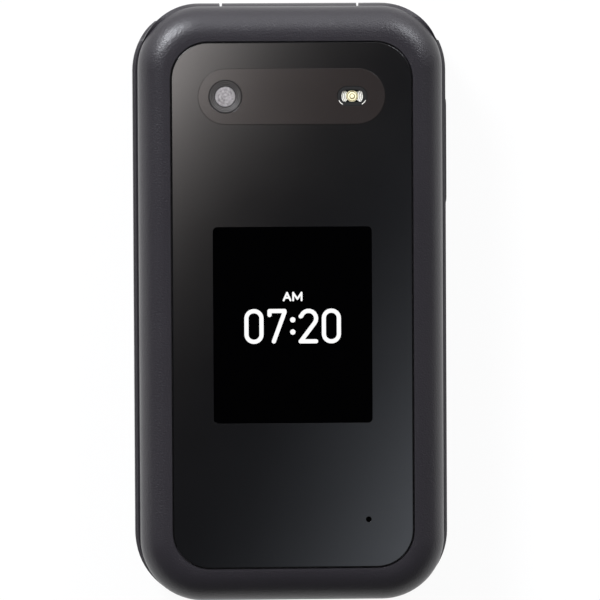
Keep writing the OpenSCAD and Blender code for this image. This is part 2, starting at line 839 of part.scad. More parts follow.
module usb_socket() color(metal)
    translate([0, y_usb_mouth + usb_l / 2, 0]) {
        difference() {
            plate(usb_w, usb_l, 0.01, z_usb - usb_h / 2, z_usb + usb_h / 2);
            translate([0, -0.5, 0])
                box(usb_w - 0.6, usb_l, z_usb - usb_h / 2 + 0.3, z_usb + usb_h / 2 - 0.3);
        }
        translate([0, 0.3, 0])
            box(usb_w - 3, usb_l - 1, z_usb - 0.05, z_usb + 0.5);
    }

module headset_jack() color(black)
    difference() {
        union() {
            body_y0 = -half_l + base_wall + jack_body_gap;
            translate([jack_x, (body_y0 + y_jack_end) / 2, 0])
                box(jack_size, y_jack_end - body_y0, z_jack - jack_size / 2, z_jack + jack_size / 2);
            translate([jack_x, y_jack_mouth, z_jack])
                rotate([-90, 0, 0])
                    cylinder(r = jack_size / 2, h = 3);
        }
        translate([jack_x, y_jack_mouth - 1, z_jack])
            rotate([-90, 0, 0])
                cylinder(r = jack_bore_r, h = jack_depth + 1);
    }

module sim_reader() color(metal)
    translate([sim_x, sim_y, 0])
        difference() {
            box(sim_w, sim_l, z_board - reader_h, z_board);
            translate([0, -1, 0])
                box(sim_w - 2.6, sim_l - 0.6, z_board - reader_h + 0.25, z_board - 0.25);
        }

module card_reader() color(metal)
    translate([card_x, card_y, 0])
        difference() {
            box(card_w, card_l, z_board - reader_h, z_board);
            translate([0, -1, 0])
                box(card_w - 0.6, card_l - 0.6, z_board - reader_h + 0.25, z_board - 0.3);
        }

module battery_contacts() color(gold) {
    finger_y0 = battery_y + battery_l / 2 + stack_play;
    finger_l = contacts_y - finger_y0;
    translate([0, contacts_y, 0])
        box(contacts_w, contacts_l, z_battery + 0.8, z_board);
    for (pin = [-1:1])
        translate([finger_pitch * pin, finger_y0 + finger_l / 2, 0])
            box(finger_w, finger_l, z_battery + 2 * finger_w, z_battery + 3 * finger_w);
}

module base_microphone() color(metal)
    translate([mic_x, mic_y, 0])
        difference() {
            box(mic_w, mic_l, z_board - mic_h, z_board);
            rod(mic_bore_r, z_board - mic_bore_r, z_board + 1);
        }

module antenna() color(gold)
    translate([antenna_x, antenna_y, 0])
        plate(antenna_w, antenna_l, 1, z_floor - antenna_t, z_floor);

module base_screws() color(metal)
    for (spot = base_screw_spots)
        translate([spot[0], spot[1], 0])
            difference() {
                union() {
                    rod(screw_head_r, z_floor - screw_head_t, z_floor);
                    rod(screw_r, z_floor - screw_head_t, z_deck_under + screw_bite);
                }
                for (turn = [0, 90])
                    rotate([0, 0, turn])
                        box(screw_slot_l, screw_slot_w, z_floor - screw_head_t - 1,
                            z_floor - screw_head_t + screw_slot_t);
            }

module hinge_shaft() color(metal)
    hinge_rod(shaft_r, -ear_x - shaft_l / 2 - 0.5, -ear_x + shaft_l / 2 - 0.5);

module hinge_bush() color(black)
    difference() {
        hinge_rod(bush_r, bush_x0, bush_x1);
        hinge_rod(bush_hole_r, bush_x0 - 1, bush_x1 + 1);
    }

// Rolled flex inside the bush, with a tail that lies down on the main board
module hinge_flex() color(gold) {
    difference() {
        hinge_rod(flex_roll_r, bush_x0 - 0.3, flex_end_x - 0.2);
        hinge_rod(flex_roll_r - 0.3, bush_x0 - 1, flex_end_x + 1);
    }
    translate([flex_tab_x, y_hinge - 0.3, 0])
        box(flex_w, flex_t, z_flex, z_hinge - flex_roll_r + 0.15);
    translate([flex_tab_x, (y_flex_board + y_hinge - 0.3) / 2, 0])
        box(flex_w, y_hinge - 0.3 - y_flex_board + flex_t, z_flex, z_flex + flex_t);
    translate([flex_tab_x, y_flex_board, 0])
        box(flex_w, flex_t, z_sheet, z_flex + flex_t);
}

// A key cap with the flange that keeps it under the plate
module key_cap(w, l) {
    top_bevel = 0.2;
    plate(w + 2 * flange_reach, l + 2 * flange_reach, key_corner_r + flange_reach,
        z_key, z_key + flange_t);
    swept_body(w, l, key_corner_r, z_key, z_key_top)
        polygon([
            [0, z_key], [key_corner_r, z_key], [key_corner_r, z_key_top - top_bevel],
            [key_corner_r - top_bevel, z_key_top], [0, z_key_top]
        ]);
}

module number_key(index) color(key_grey)
    translate([number_grid[index][0], number_grid[index][1], 0])
        key_cap(key_w, key_l);

module side_key(index) color(key_grey)
    translate([side_grid[index][0], side_grid[index][1], 0])
        key_cap(side_key_w, side_key_l);

module nav_pad() color([0.3, 0.3, 0.32])
    translate([0, nav_y, 0])
        difference() {
            rod(nav_pad_r, z_nav_pad, z_nav_pad + nav_pad_t);
            rod(nav_pad_hole_r, z_nav_pad - 1, z_nav_pad + 1);
        }

module nav_ring() color(key_grey)
    translate([0, nav_y, 0])
        difference() {
            union() {
                rod(nav_r + nav_flange_reach, z_nav_flange, z_nav_flange + nav_flange_t);
                rod(nav_r, z_nav_flange, z_key_top);
            }
            rod(nav_hole_r, z_nav_flange - 1, z_key_top + 1);
        }

module ok_key() color(key_grey)
    translate([0, nav_y, 0])
        rod(ok_r, z_dome_top + press_gap + key_travel + 0.1, z_key_top);

module volume_rocker() color(charcoal)
    translate([0, y_rocker, z_rocker]) {
        rotate([0, 90, 0])
            plate(rocker_h, rocker_l, rocker_h / 2 - eps, x_rocker - eps, half_w + rocker_proud);
        rotate([0, 90, 0])
            plate(rocker_h + 0.5, rocker_l + 2 * rocker_flange_reach, 1,
                x_rocker - rocker_flange_t, x_rocker);
    }

// Outer form of the lid above a height
module lid_form(z0) {
    translate([0, lid_y, 0])
        swept_body(lid_w, lid_l, lid_corner_r, z0, z_top)
            edge_round_top(lid_corner_r, lid_round, z0, z_top);
}

// Hollow of the lid, kept clear of the hinge
module lid_cavity() {
    difference() {
        translate([0, lid_y, 0])
            swept_body(lid_w - 2 * lid_wall, lid_l - 2 * lid_wall, lid_corner_r - lid_wall,
                z_bezel_top - 1, z_ledge)
                edge_round_top(lid_corner_r - lid_wall, lid_inner_round, z_bezel_top - 1, z_ledge);
        hinge_rod(hinge_r + swing_gap + hinge_wall, -half_w, half_w);
        translate([-half_w, y_hinge, 0])
            cube([body_w, body_l, z_hinge + hinge_r + hinge_wall]);
        for (spot = free_screw_spots)
            translate([spot[0], spot[1], 0])
                rod(lid_boss_r, z_bezel_top + lid_boss_t, z_bezel_top + lid_boss_t + 3);
        for (spot = hinge_screw_spots)
            translate([spot[0], spot[1], 0])
                rod(lid_boss_r, z_bezel_top + lid_boss_t, z_top);
    }
}

// Clearance that the base's ears need in the lid
module ear_clearance() {
    hinge_rod(hinge_r + swing_gap, -half_w, -barrel_w / 2);
    hinge_rod(hinge_r + swing_gap, barrel_w / 2, half_w);
}

module lid_outer_shell() color(charcoal)
    difference() {
        union() {
            difference() {
                lid_form(z_bezel_top);
                lid_cavity();
                ear_clearance();
            }
            hinge_rod(hinge_r, -barrel_w / 2, barrel_w / 2);
        }
        hinge_rod(barrel_bore_r, -barrel_w / 2 - 1, barrel_w / 2 + 1);
        translate([0, window_y, 0])
            plate(window_w + 2 * window_groove, window_l + 2 * window_groove,
                window_r + window_groove, z_window, z_top + 1);
        translate([0, window_y - outer_shift, 0])
            plate(outer_w + 2 * window_play, outer_l + 2 * window_play, 1, z_ledge - 1, z_window + 1);
        translate([-camera_x, camera_y, 0])
            rod(camera_lens_r + 0.3, z_ledge - 1, z_window + 1);
        translate([flash_x, camera_y, 0])
            pill(flash_inner_w + 0.3, flash_inner_l + 0.3, z_ledge - 1, z_window + 1);
        translate([lid_mic_x, lid_mic_y, 0])
            rod(lid_mic_r, z_ledge - 1, z_window + 1);
        for (spot = lid_screw_spots)
            translate([spot[0], spot[1], 0])
                rod(lid_screw_r + screw_play, z_bezel_top, z_bezel_top + lid_boss_t + lid_screw_l - 1.5);
        translate([(flex_w + 0.8) / 2 + 2, y_hinge - hinge_r / 2 - 1.6, 0])
            box(flex_w + 0.8, hinge_r + 3.2, z_bezel_top + 0.4, z_bezel_top + 1.1);
    }

module lid_inner_bezel() color(black)
    difference() {
        union() {
            translate([0, lid_y, 0])
                plate(lid_w, lid_l, lid_corner_r, z_lid, z_bezel_top);
            for (spot = lid_screw_spots)
                translate([spot[0], spot[1], 0])
                    rod(lid_boss_r, z_lid, z_bezel_top + lid_boss_t);
        }
        hinge_rod(hinge_r + swing_gap, -half_w, half_w);
        translate([-half_w, y_hinge, 0])
            cube([body_w, body_l, z_top]);
        translate([0, display_y, 0]) {
            plate(panel_w + 2 * slack, panel_l + 2 * slack, 2, z_lid - 1, z_lid + panel_recess + panel_t);
            plate(display_w - 3, display_l - 7, 0.5, z_lid - 1, z_bezel_top + 1);
        }
        translate([0, ear_slot_y, 0])
            pill(ear_slot_w, ear_slot_l, z_lid - 1, z_bezel_top + 1);
        for (spot = lid_screw_spots)
            translate([spot[0], spot[1], 0]) {
                rod(bumper_r + stack_play, z_lid - 1, z_bezel_top);
                rod(lid_screw_r + screw_play, z_lid, z_top);
            }
    }

module cover_window() color(glass)
    difference() {
        translate([0, window_y, 0])
            plate(window_w, window_l, window_r, z_window, z_top);
        translate([0, camera_y, 0])
            pill(island_l + 2 * island_gap, island_w + 2 * island_gap, z_window - 1, z_top + 1);
        translate([lid_mic_x, lid_mic_y, 0])
            rod(lid_mic_r, z_window - 1, z_top + 1);
    }

module camera_window() color([0.12, 0.11, 0.11])
    difference() {
        translate([0, camera_y, 0])
            pill(island_l, island_w, z_window, z_top + island_rise);
        translate([-camera_x, camera_y, 0])
            rod(camera_hole_r, z_window - 1, z_top + 1);
        translate([flash_x, camera_y, 0])
            pill(flash_w + 0.1, flash_l + 0.1, z_window - 1, z_top + 1);
    }

module camera_ring() color(black)
    translate([-camera_x, camera_y, 0])
        rotate_extrude()
            polygon([
                [camera_lens_r - 0.4, z_window], [camera_ring_r, z_window],
                [camera_ring_r, z_top + 0.05], [camera_ring_r - 0.2, z_top + 0.05],
                [camera_lens_r + 0.05, z_window + 0.55], [camera_lens_r + 0.05, z_window + 0.25],
                [camera_lens_r - 0.4, z_window + 0.25]
            ]);

module camera_lens() color([0.55, 0.54, 0.54])
    translate([-camera_x, camera_y, 0])
        rod(camera_lens_r, z_window + 0.25, z_window + 0.6);

module camera_module() color(black)
    translate([-camera_x, camera_y, 0]) {
        box(camera_block, camera_block, z_lid_parts, z_lid_parts + camera_block_h);
        rod(camera_lens_r + 0.1, z_lid_parts, z_window - slack);
    }

module flash_bezel() color(black)
    translate([flash_x, camera_y, 0])
        difference() {
            pill(flash_w, flash_l, z_window, z_top + 0.05);
            pill(flash_inner_w, flash_inner_l, z_window - 1, z_top + 1);
        }

module flash_led() color([0.9, 0.85, 0.5])
    translate([flash_x, camera_y, 0]) {
        box(led_w, led_l, z_lid_parts, z_ledge - 0.2);
        pill(flash_inner_w - 0.2, flash_inner_l - 0.2, z_ledge - 0.3, z_window + 0.4);
        rod(1, z_window, z_window + 0.6);
    }

module lid_microphone() color(metal)
    translate([lid_mic_x, lid_mic_y, 0])
        difference() {
            box(lid_mic_w, lid_mic_l, z_lid_parts, z_lid_parts + lid_mic_h);
            rod(mic_bore_r, z_lid_parts + lid_mic_h - 0.5, z_top);
        }

module outer_display() color(glass)
    translate([0, window_y - outer_shift, 0])
        plate(outer_w, outer_l, 0.5, z_outer, z_outer + outer_t);

module lid_board() color(green) {
    board_free_y = chassis_free_y;
    board_hinge_y = chassis_hinge_y;
    difference() {
        translate([0, (board_free_y + board_hinge_y) / 2, 0])
            plate(lid_board_w, board_hinge_y - board_free_y, 5, z_lid_board, z_lid_parts);
        for (spot = hinge_screw_spots)
            translate([spot[0], spot[1], 0])
                rod(lid_boss_r + 0.4, z_lid_board - 1, z_lid_parts + 1);
    }
    tail_x = 2 + (flex_w + 0.8) / 2;
    tail_y = board_hinge_y + 0.4;
    translate([tail_x, board_hinge_y - 0.4, 0])
        box(flex_w, 1.6 + flex_t, z_lid_parts - flex_t, z_lid_parts);
    translate([tail_x, tail_y, 0])
        box(flex_w, flex_t, z_bezel_top + 0.7, z_lid_parts);
    translate([tail_x, (tail_y + y_hinge) / 2, 0])
        box(flex_w, y_hinge - tail_y + flex_t, z_bezel_top + 0.7, z_bezel_top + 0.7 + flex_t);
    difference() {
        hinge_rod(flex_roll_r, 1.4, bush_x0 - 0.6);
        hinge_rod(flex_roll_r - 0.3, 1, bush_x0);
    }
    translate([tail_x, y_hinge, 0])
        box(flex_w, flex_t, z_hinge + flex_roll_r - 0.15, z_bezel_top + 0.7 + flex_t);
}

module lid_chassis() color(metal)
    difference() {
        translate([0, (chassis_free_y + chassis_hinge_y) / 2, 0])
            plate(lid_w - 2 * chassis_inset, chassis_hinge_y - chassis_free_y, 7, z_chassis, z_lid_board);
        for (spot = hinge_screw_spots)
            translate([spot[0], spot[1], 0])
                rod(lid_boss_r + 0.4, z_chassis - 1, z_lid_board + 1);
    }

module main_display() color(glass)
    translate([0, display_y, 0])
        plate(display_w, display_l, 0.5, z_display, z_display + display_t);

module main_display_window() color(glass)
    translate([0, display_y, 0])
        plate(panel_w, panel_l, 1.9, z_lid + panel_recess, z_lid + panel_recess + panel_t);

module earpiece() color(metal)
    translate([0, ear_slot_y, 0])
        plate(earpiece_w, earpiece_l, 2, z_bezel_top, z_bezel_top + earpiece_t);

module lid_bumpers() color([0.08, 0.08, 0.08])
    for (spot = lid_screw_spots)
        translate([spot[0], spot[1], 0])
            rod(bumper_r, z_lid - bumper_rise, z_lid + bumper_t);

module lid_screws() color(metal)
    for (spot = lid_screw_spots)
        translate([spot[0], spot[1], 0]) {
            rod(lid_head_r, z_bezel_top - lid_head_t, z_bezel_top);
            rod(lid_screw_r, z_bezel_top, z_bezel_top + lid_screw_l - 1);
        }

module hinge_module() color(metal)
    difference() {
        hinge_rod(bush_r, -barrel_w / 2 + slack, module_x1);
        hinge_rod(shaft_r + hinge_fit, -barrel_w / 2, -barrel_w / 2 + slack + module_socket);
    }

base_front_housing();
base_rear_housing();
battery_cover();
battery();
main_board();
dome_sheet();
keymat();
rf_shield();
loudspeaker();
vibration_motor();
usb_socket();
headset_jack();
sim_reader();
card_reader();
battery_contacts();
base_microphone();
antenna();
base_screws();
hinge_shaft();
hinge_bush();
hinge_flex();
number_key(0);  // key_1
number_key(1);  // key_2
number_key(2);  // key_3
number_key(3);  // key_4
number_key(4);  // key_5
number_key(5);  // key_6
number_key(6);  // key_7
number_key(7);  // key_8
number_key(8);  // key_9
number_key(9);  // key_star
number_key(10);  // key_0
number_key(11);  // key_hash
side_key(0);  // soft_key_left
side_key(1);  // soft_key_right
side_key(2);  // call_key
side_key(3);  // end_key
nav_pad();
nav_ring();
ok_key();
volume_rocker();
lid_outer_shell();
lid_inner_bezel();
cover_window();
camera_window();
camera_ring();
camera_lens();
camera_module();
flash_bezel();
flash_led();
lid_microphone();
outer_display();
lid_board();
lid_chassis();
main_display();
main_display_window();
earpiece();
lid_bumpers();
lid_screws();
hinge_module();
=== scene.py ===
"""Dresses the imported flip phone: finishes for the solids, and finer pieces where the eye looks."""

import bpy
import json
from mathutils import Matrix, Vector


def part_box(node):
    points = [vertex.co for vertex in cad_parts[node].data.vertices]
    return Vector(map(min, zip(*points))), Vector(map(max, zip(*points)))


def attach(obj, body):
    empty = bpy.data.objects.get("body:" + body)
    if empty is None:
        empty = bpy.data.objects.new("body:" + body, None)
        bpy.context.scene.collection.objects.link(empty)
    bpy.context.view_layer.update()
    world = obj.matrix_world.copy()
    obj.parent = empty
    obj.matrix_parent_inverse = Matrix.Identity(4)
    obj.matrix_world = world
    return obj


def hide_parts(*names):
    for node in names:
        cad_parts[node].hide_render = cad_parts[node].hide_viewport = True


bl_info = {
    "name": "Flip Phone Looks",
    "version": (1, 0, 0),
    "blender": (4, 5, 0),
    "location": "View3D > Sidebar > Flip Phone",
    "description": "Finishes, keys, windows, screens and studio for a closed flip phone",
    "category": "Object",
}

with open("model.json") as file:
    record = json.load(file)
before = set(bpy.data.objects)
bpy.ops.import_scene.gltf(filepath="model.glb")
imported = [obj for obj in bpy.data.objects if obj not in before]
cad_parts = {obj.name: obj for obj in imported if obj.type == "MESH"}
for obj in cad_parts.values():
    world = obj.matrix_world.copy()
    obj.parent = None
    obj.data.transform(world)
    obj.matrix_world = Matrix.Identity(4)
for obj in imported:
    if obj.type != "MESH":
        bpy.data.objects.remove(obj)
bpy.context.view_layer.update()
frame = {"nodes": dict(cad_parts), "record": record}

import json
from math import atan2, cos, hypot, pi, radians, sin

import bmesh
import bpy
from bpy.props import FloatProperty, FloatVectorProperty, IntProperty, PointerProperty
from mathutils import Matrix, Vector
from mathutils.geometry import tessellate_polygon

MM = 0.001
SAME_POINT = 1e-7          # points of an outline closer than this, in metres, are one
SAME_CORNER = 1e-6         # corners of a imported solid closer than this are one
ON_AXIS = 1e-8             # a smaller radius is a point on the axis
NO_AREA = 1e-16            # a triangle below this has no area
PILL = 1.0                 # a corner radius that is always cut down to half the width


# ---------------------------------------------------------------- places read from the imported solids

def span(node):
    """Lowest corner, highest corner, centre and size of a solid, in metres."""
    low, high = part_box(node)
    return low, high, (low + high) / 2, high - low


WINDOW_LOW, WINDOW_HIGH, WINDOW_MID, WINDOW_SIZE = span("cover_window")
ISLAND_LOW, ISLAND_HIGH, ISLAND_MID, ISLAND_SIZE = span("camera_window")
RING_LOW, RING_HIGH, RING_MID, RING_SIZE = span("camera_ring")
LENS_LOW, LENS_HIGH, LENS_MID, LENS_SIZE = span("camera_lens")
FLASH_LOW, FLASH_HIGH, FLASH_MID, FLASH_SIZE = span("flash_bezel")
_, SCREEN_HIGH, SCREEN_MID, _ = span("outer_display")
TOP_Z = WINDOW_HIGH.z

NUMBER_KEYS = ["key_1", "key_2", "key_3", "key_4", "key_5", "key_6", "key_7", "key_8", "key_9",
               "key_star", "key_0", "key_hash"]
SIDE_KEYS = ["soft_key_left", "soft_key_right", "call_key", "end_key"]


# ---------------------------------------------------------------- sizes and colours a user may change

class PhoneFinish(bpy.types.PropertyGroup):
    shell_colour: FloatVectorProperty(
        name="Shell", description="Moulded plastic of both halves", subtype="COLOR",
        default=(0.0165, 0.0146, 0.0180), min=0, max=1)
    shell_grain: FloatProperty(
        name="Shell grain", description="Size of the moulded texture's grain",
        default=0.3 * MM, min=0.05 * MM, max=1 * MM, unit="LENGTH", precision=5)
    key_colour: FloatVectorProperty(
        name="Keys", description="Plastic of the keys", subtype="COLOR",
        default=(0.016, 0.016, 0.018), min=0, max=1)
    legend_colour: FloatVectorProperty(
        name="Key marks", description="Print on the keys", subtype="COLOR",
        default=(0.78, 0.79, 0.8), min=0, max=1)
    window_colour: FloatVectorProperty(
        name="Window", description="Black print behind the cover window", subtype="COLOR",
        default=(0.0022, 0.0021, 0.0024), min=0, max=1)
    island_colour: FloatVectorProperty(
        name="Camera window", description="Print behind the camera window", subtype="COLOR",
        default=(0.0155, 0.012, 0.0112), min=0, max=1)


class PhoneSizes(bpy.types.PropertyGroup):
    window_bevel: FloatProperty(
        name="Window bevel", description="Rounding along the cover window's edge",
        default=0.11 * MM, min=0.05 * MM, max=0.4 * MM, unit="LENGTH", precision=5)
    clock_width: FloatProperty(
        name="Clock width", description="Width of the four digits on the outer screen",
        default=17.3 * MM, min=12 * MM, max=24 * MM, unit="LENGTH", precision=5)
    key_crown: FloatProperty(
        name="Key crown", description="Rise of a key's middle above its edge",
        default=0.22 * MM, min=0, max=0.3 * MM, unit="LENGTH", precision=5)
    mesh_pitch: FloatProperty(
        name="Wire pitch", description="Spacing of the wires in the earpiece and speaker mesh",
        default=0.26 * MM, min=0.15 * MM, max=0.5 * MM, unit="LENGTH", precision=5)
    ring_ridges: IntProperty(
        name="Camera ring ridges", description="Fine ridges inside the camera's ring",
        default=3, min=1, max=6)


class PhoneStudio(bpy.types.PropertyGroup):
    camera_height: FloatProperty(
        name="Camera height", description="Distance from the cover window to the camera",
        default=0.9, min=0.3, max=2, unit="LENGTH")
    camera_left: FloatProperty(
        name="Camera to the left", description="How far the camera stands left of the middle",
        default=0.042, min=-0.2, max=0.2, unit="LENGTH")
    camera_up: FloatProperty(
        name="Camera to the hinge", description="How far the camera stands towards the hinge end",
        default=0.036, min=-0.2, max=0.2, unit="LENGTH")
    camera_roll: FloatProperty(
        name="Camera roll", description="Turn of the camera about its own line of sight",
        default=-0.0052, min=-0.5, max=0.5, subtype="ANGLE")
    floor_colour: FloatVectorProperty(
        name="Floor", description="Pale floor under the phone", subtype="COLOR",
        default=(0.93, 0.93, 0.93), min=0, max=1)


def finish():
    return bpy.context.scene.phone_finish


def sizes():
    return bpy.context.scene.phone_sizes


def studio():
    return bpy.context.scene.phone_studio


# ---------------------------------------------------------------- mesh helpers

def without_doubles(points):
    """Drops a point that repeats the one before it."""
    kept = []
    for p in points:
        if not kept or hypot(p[0] - kept[-1][0], p[1] - kept[-1][1]) > SAME_POINT:
            kept.append(p)
    if hypot(kept[0][0] - kept[-1][0], kept[0][1] - kept[-1][1]) <= SAME_POINT:
        kept.pop()
    return kept


def rounded_outline(width, length, radius, centre=(0, 0), steps=14):
    """Counter-clockwise outline of a rectangle with round corners."""
    radius = min(radius, width / 2, length / 2)
    points = []
    for sx, sy, start in ((1, 1, 0), (-1, 1, 90), (-1, -1, 180), (1, -1, 270)):
        cx, cy = centre[0] + sx * (width / 2 - radius), centre[1] + sy * (length / 2 - radius)
        for i in range(steps + 1):
            a = radians(start + 90 * i / steps)
            points.append((cx + radius * cos(a), cy + radius * sin(a)))
    return without_doubles(points)


def circle_outline(radius, centre=(0, 0), steps=48):
    """Counter-clockwise outline of a circle."""
    return [(centre[0] + radius * cos(2 * pi * i / steps), centre[1] + radius * sin(2 * pi * i / steps))
            for i in range(steps)]


def outline_normals(points):
    """Outward direction at each point of a counter-clockwise outline."""
    n = len(points)
    normals = []
    for i in range(n):
        ax, ay = points[i - 1]
        bx, by = points[(i + 1) % n]
        d = hypot(bx - ax, by - ay) or 1
        normals.append(((by - ay) / d, -(bx - ax) / d))
    return normals


def make_object(name, vertices, faces, material, normals=None, body=None):
    """An object with one material; a body makes it part of the phone."""
    mesh = bpy.data.meshes.new(name)
    mesh.from_pydata([tuple(v) for v in vertices], [], faces)
    mesh.validate()
    mesh.materials.append(material)
    mesh.shade_smooth()
    if normals is not None:
        mesh.normals_split_custom_set_from_vertices([tuple(n) for n in normals])
    thing = bpy.data.objects.new(name, mesh)
    bpy.context.scene.collection.objects.link(thing)
    if body:
        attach(thing, body)
    return thing


def edge_rings(low, high, bevel, under_bevel, steps):
    """Inset, height and tilt of the rings that run up a plate's edge."""
    rings = []
    for k in range(steps + 1):
        a = pi / 2 * k / steps
        rings.append((under_bevel * (1 - sin(a)), low + under_bevel * (1 - cos(a)), -(pi / 2 - a)))
    for k in range(steps + 1):
        a = pi / 2 * k / steps
        rings.append((bevel * (1 - cos(a)), high - bevel * (1 - sin(a)), a))
    if under_bevel == 0:
        rings = [(0.0, low, 0.0)] + rings[steps + 1:]
    if bevel == 0:
        rings = rings[:-steps - 1] + [(0.0, high, 0.0)]
    return rings


def plate_geometry(outer, holes, low, high, bevel=0.0, under_bevel=0.0, steps=3, hole_bevel=None):
    """A flat plate with holes and rounded top and bottom edges, as vertices, faces and normals."""
    if hole_bevel is None:
        hole_bevel = bevel
    loops = [list(outer)] + [list(reversed(hole)) for hole in holes]
    vertices, normals, faces, starts, counts = [], [], [], [], []
    for number, loop in enumerate(loops):
        rings = edge_rings(low, high, hole_bevel if number else bevel, under_bevel, steps)
        out = outline_normals(loop)
        first = len(vertices)
        starts.append(first)
        counts.append(len(rings))
        n = len(loop)
        for inset, z, tilt in rings:
            for (x, y), (nx, ny) in zip(loop, out):
                vertices.append((x - nx * inset, y - ny * inset, z))
                normals.append((nx * cos(tilt), ny * cos(tilt), sin(tilt)))
        for k in range(len(rings) - 1):
            for i in range(n):
                a, b = first + k * n + i, first + k * n + (i + 1) % n
                faces.append((a, b, b + n, a + n))
    for up in (-1, 1):
        index, polygons = [], []
        for loop, first, count in zip(loops, starts, counts):
            n = len(loop)
            ring = 0 if up < 0 else count - 1
            base = len(vertices)
            for i in range(n):
                vertices.append(vertices[first + ring * n + i])
                normals.append((0, 0, up))
            index += range(base, base + n)
            polygons.append([Vector(vertices[base + i]) for i in range(n)])
        for tri in tessellate_polygon(polygons):
            a, b, c = (Vector(vertices[index[i]]) for i in tri)
            facing = (b - a).cross(c - a).z
            if abs(facing) < NO_AREA:
                continue
            tri = [index[i] for i in tri]
            faces.append(tuple(tri if facing * up > 0 else reversed(tri)))
    return vertices, faces, normals


def plate(name, outer, holes, low, high, material, body, slot, **edges):
    """A plate as a piece of the phone."""
    vertices, faces, normals = plate_geometry(outer, holes, low, high, **edges)
    return make_object(name, vertices, faces, material, normals, body)


def join_geometry(parts):
    """Several (vertices, faces, normals) as one."""
    vertices, faces, normals = [], [], []
    for v, f, n in parts:
        start = len(vertices)
        vertices += list(v)
        normals += list(n)
        faces += [tuple(start + i for i in face) for face in f]
    return vertices, faces, normals


def turned(name, profile, centre, material, body, steps=96, smooth_angle=35):
    """A closed (radius, height) profile turned about an upright axis, facing outwards."""
    mesh = bpy.data.meshes.new(name)
    bm = bmesh.new()
    rings = []
    for r, z in profile:
        if r < ON_AXIS:
            rings.append([bm.verts.new((centre[0], centre[1], z))])
        else:
            rings.append([bm.verts.new((centre[0] + r * cos(2 * pi * i / steps),
                                        centre[1] + r * sin(2 * pi * i / steps), z))
                          for i in range(steps)])
    closed = profile[0][0] > ON_AXIS and profile[-1][0] > ON_AXIS
    pairs = list(zip(rings, rings[1:])) + ([(rings[-1], rings[0])] if closed else [])
    for a, b in pairs:
        for i in range(steps):
            j = (i + 1) % steps
            if len(a) == 1 and len(b) > 1:
                bm.faces.new((a[0], b[i], b[j]))
            elif len(b) == 1 and len(a) > 1:
                bm.faces.new((a[j], a[i], b[0]))
            elif len(a) > 1:
                bm.faces.new((a[i], b[i], b[j], a[j]))
    bmesh.ops.recalc_face_normals(bm, faces=bm.faces)
    bm.to_mesh(mesh)
    bm.free()
    mesh.materials.append(material)
    mesh.shade_smooth()
    mesh.set_sharp_from_angle(angle=radians(smooth_angle))
    thing = bpy.data.objects.new(name, mesh)
    bpy.context.scene.collection.objects.link(thing)
    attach(thing, body)
    return thing


CAP_STEPS = 8


def stroke_cap(end, before, half):
    """Round end of a pen stroke, from its right side to its left."""
    d = Vector((end[0] - before[0], end[1] - before[1])).normalized()
    first = atan2(-d.x, d.y)
    turns = [first + pi * k / CAP_STEPS for k in range(1, CAP_STEPS)]
    return [(end[0] + half * cos(a), end[1] + half * sin(a)) for a in turns]


def stroke_geometry(points, width, low, high):
    """A flat pen stroke with round ends along a line of points, with its thickness."""
    half = width / 2
    left, right = [], []
    for i, (x, y) in enumerate(points):
        before = points[max(i - 1, 0)]
        after = points[min(i + 1, len(points) - 1)]
        d1 = Vector((x - before[0], y - before[1]))
        d2 = Vector((after[0] - x, after[1] - y))
        d1 = d1.normalized() if d1.length > 0 else d2.normalized()
        d2 = d2.normalized() if d2.length > 0 else d1
        mean = (d1 + d2).normalized()
        side = Vector((-mean.y, mean.x))
        reach = half / max(0.35, side.dot(Vector((-d1.y, d1.x))))
        left.append((x + side.x * reach, y + side.y * reach))
        right.append((x - side.x * reach, y - side.y * reach))
    outline = right + stroke_cap(points[-1], points[-2], half)
    outline += left[::-1] + stroke_cap(points[0], points[1], half)
    return plate_geometry(without_doubles(outline), [], low, high)


def arc_points(centre, radius, start, end, steps=10):
    return [(centre[0] + radius * cos(radians(start + (end - start) * i / steps)),
             centre[1] + radius * sin(radians(start + (end - start) * i / steps)))
            for i in range(steps + 1)]


def letters_geometry(text, size, centre, low, high, bold=0.0):
    """Plain letters from Blender's own font, flat, centred on a point."""
    curve = bpy.data.curves.new("letters", "FONT")
    curve.body = text
    curve.size = 1
    curve.offset = bold
    curve.extrude = 0.5
    curve.resolution_u = 4
    curve.align_x = "CENTER"
    thing = bpy.data.objects.new("letters", curve)
    bpy.context.scene.collection.objects.link(thing)
    bpy.context.view_layer.update()
    mesh = bpy.data.meshes.new_from_object(thing.evaluated_get(bpy.context.evaluated_depsgraph_get()))
    xs = [v.co.x for v in mesh.vertices]
    ys = [v.co.y for v in mesh.vertices]
    mid = ((min(xs) + max(xs)) / 2, (min(ys) + max(ys)) / 2)
    vertices = [(centre[0] + (v.co.x - mid[0]) * size, centre[1] + (v.co.y - mid[1]) * size,
                 low + (v.co.z + 0.5) * (high - low)) for v in mesh.vertices]
    faces = [tuple(p.vertices) for p in mesh.polygons]
    normals = [(0, 0, 1)] * len(vertices)
    bpy.data.objects.remove(thing)
    bpy.data.curves.remove(curve)
    bpy.data.meshes.remove(mesh)
    return vertices, faces, normals


def flat_object(name, geometry, material, body):
    """Thin flat piece, such as print and the flash's painted highlights: flat faces, shaded flat."""
    vertices, faces, _ = geometry
    thing = make_object(name, vertices, faces, material, None, body)
    thing.data.shade_flat()
    return thing


# ---------------------------------------------------------------- shader groups that several finishes use

def math_node(nodes, links, operation, *values):
    """A math node; each value is a number or another node's output."""
    node = nodes.new("ShaderNodeMath")
    node.operation = operation
    for socket, value in zip(node.inputs, values):
        if isinstance(value, (int, float)):
            socket.default_value = value
        else:
            links.new(value, socket)
    return node.outputs[0]


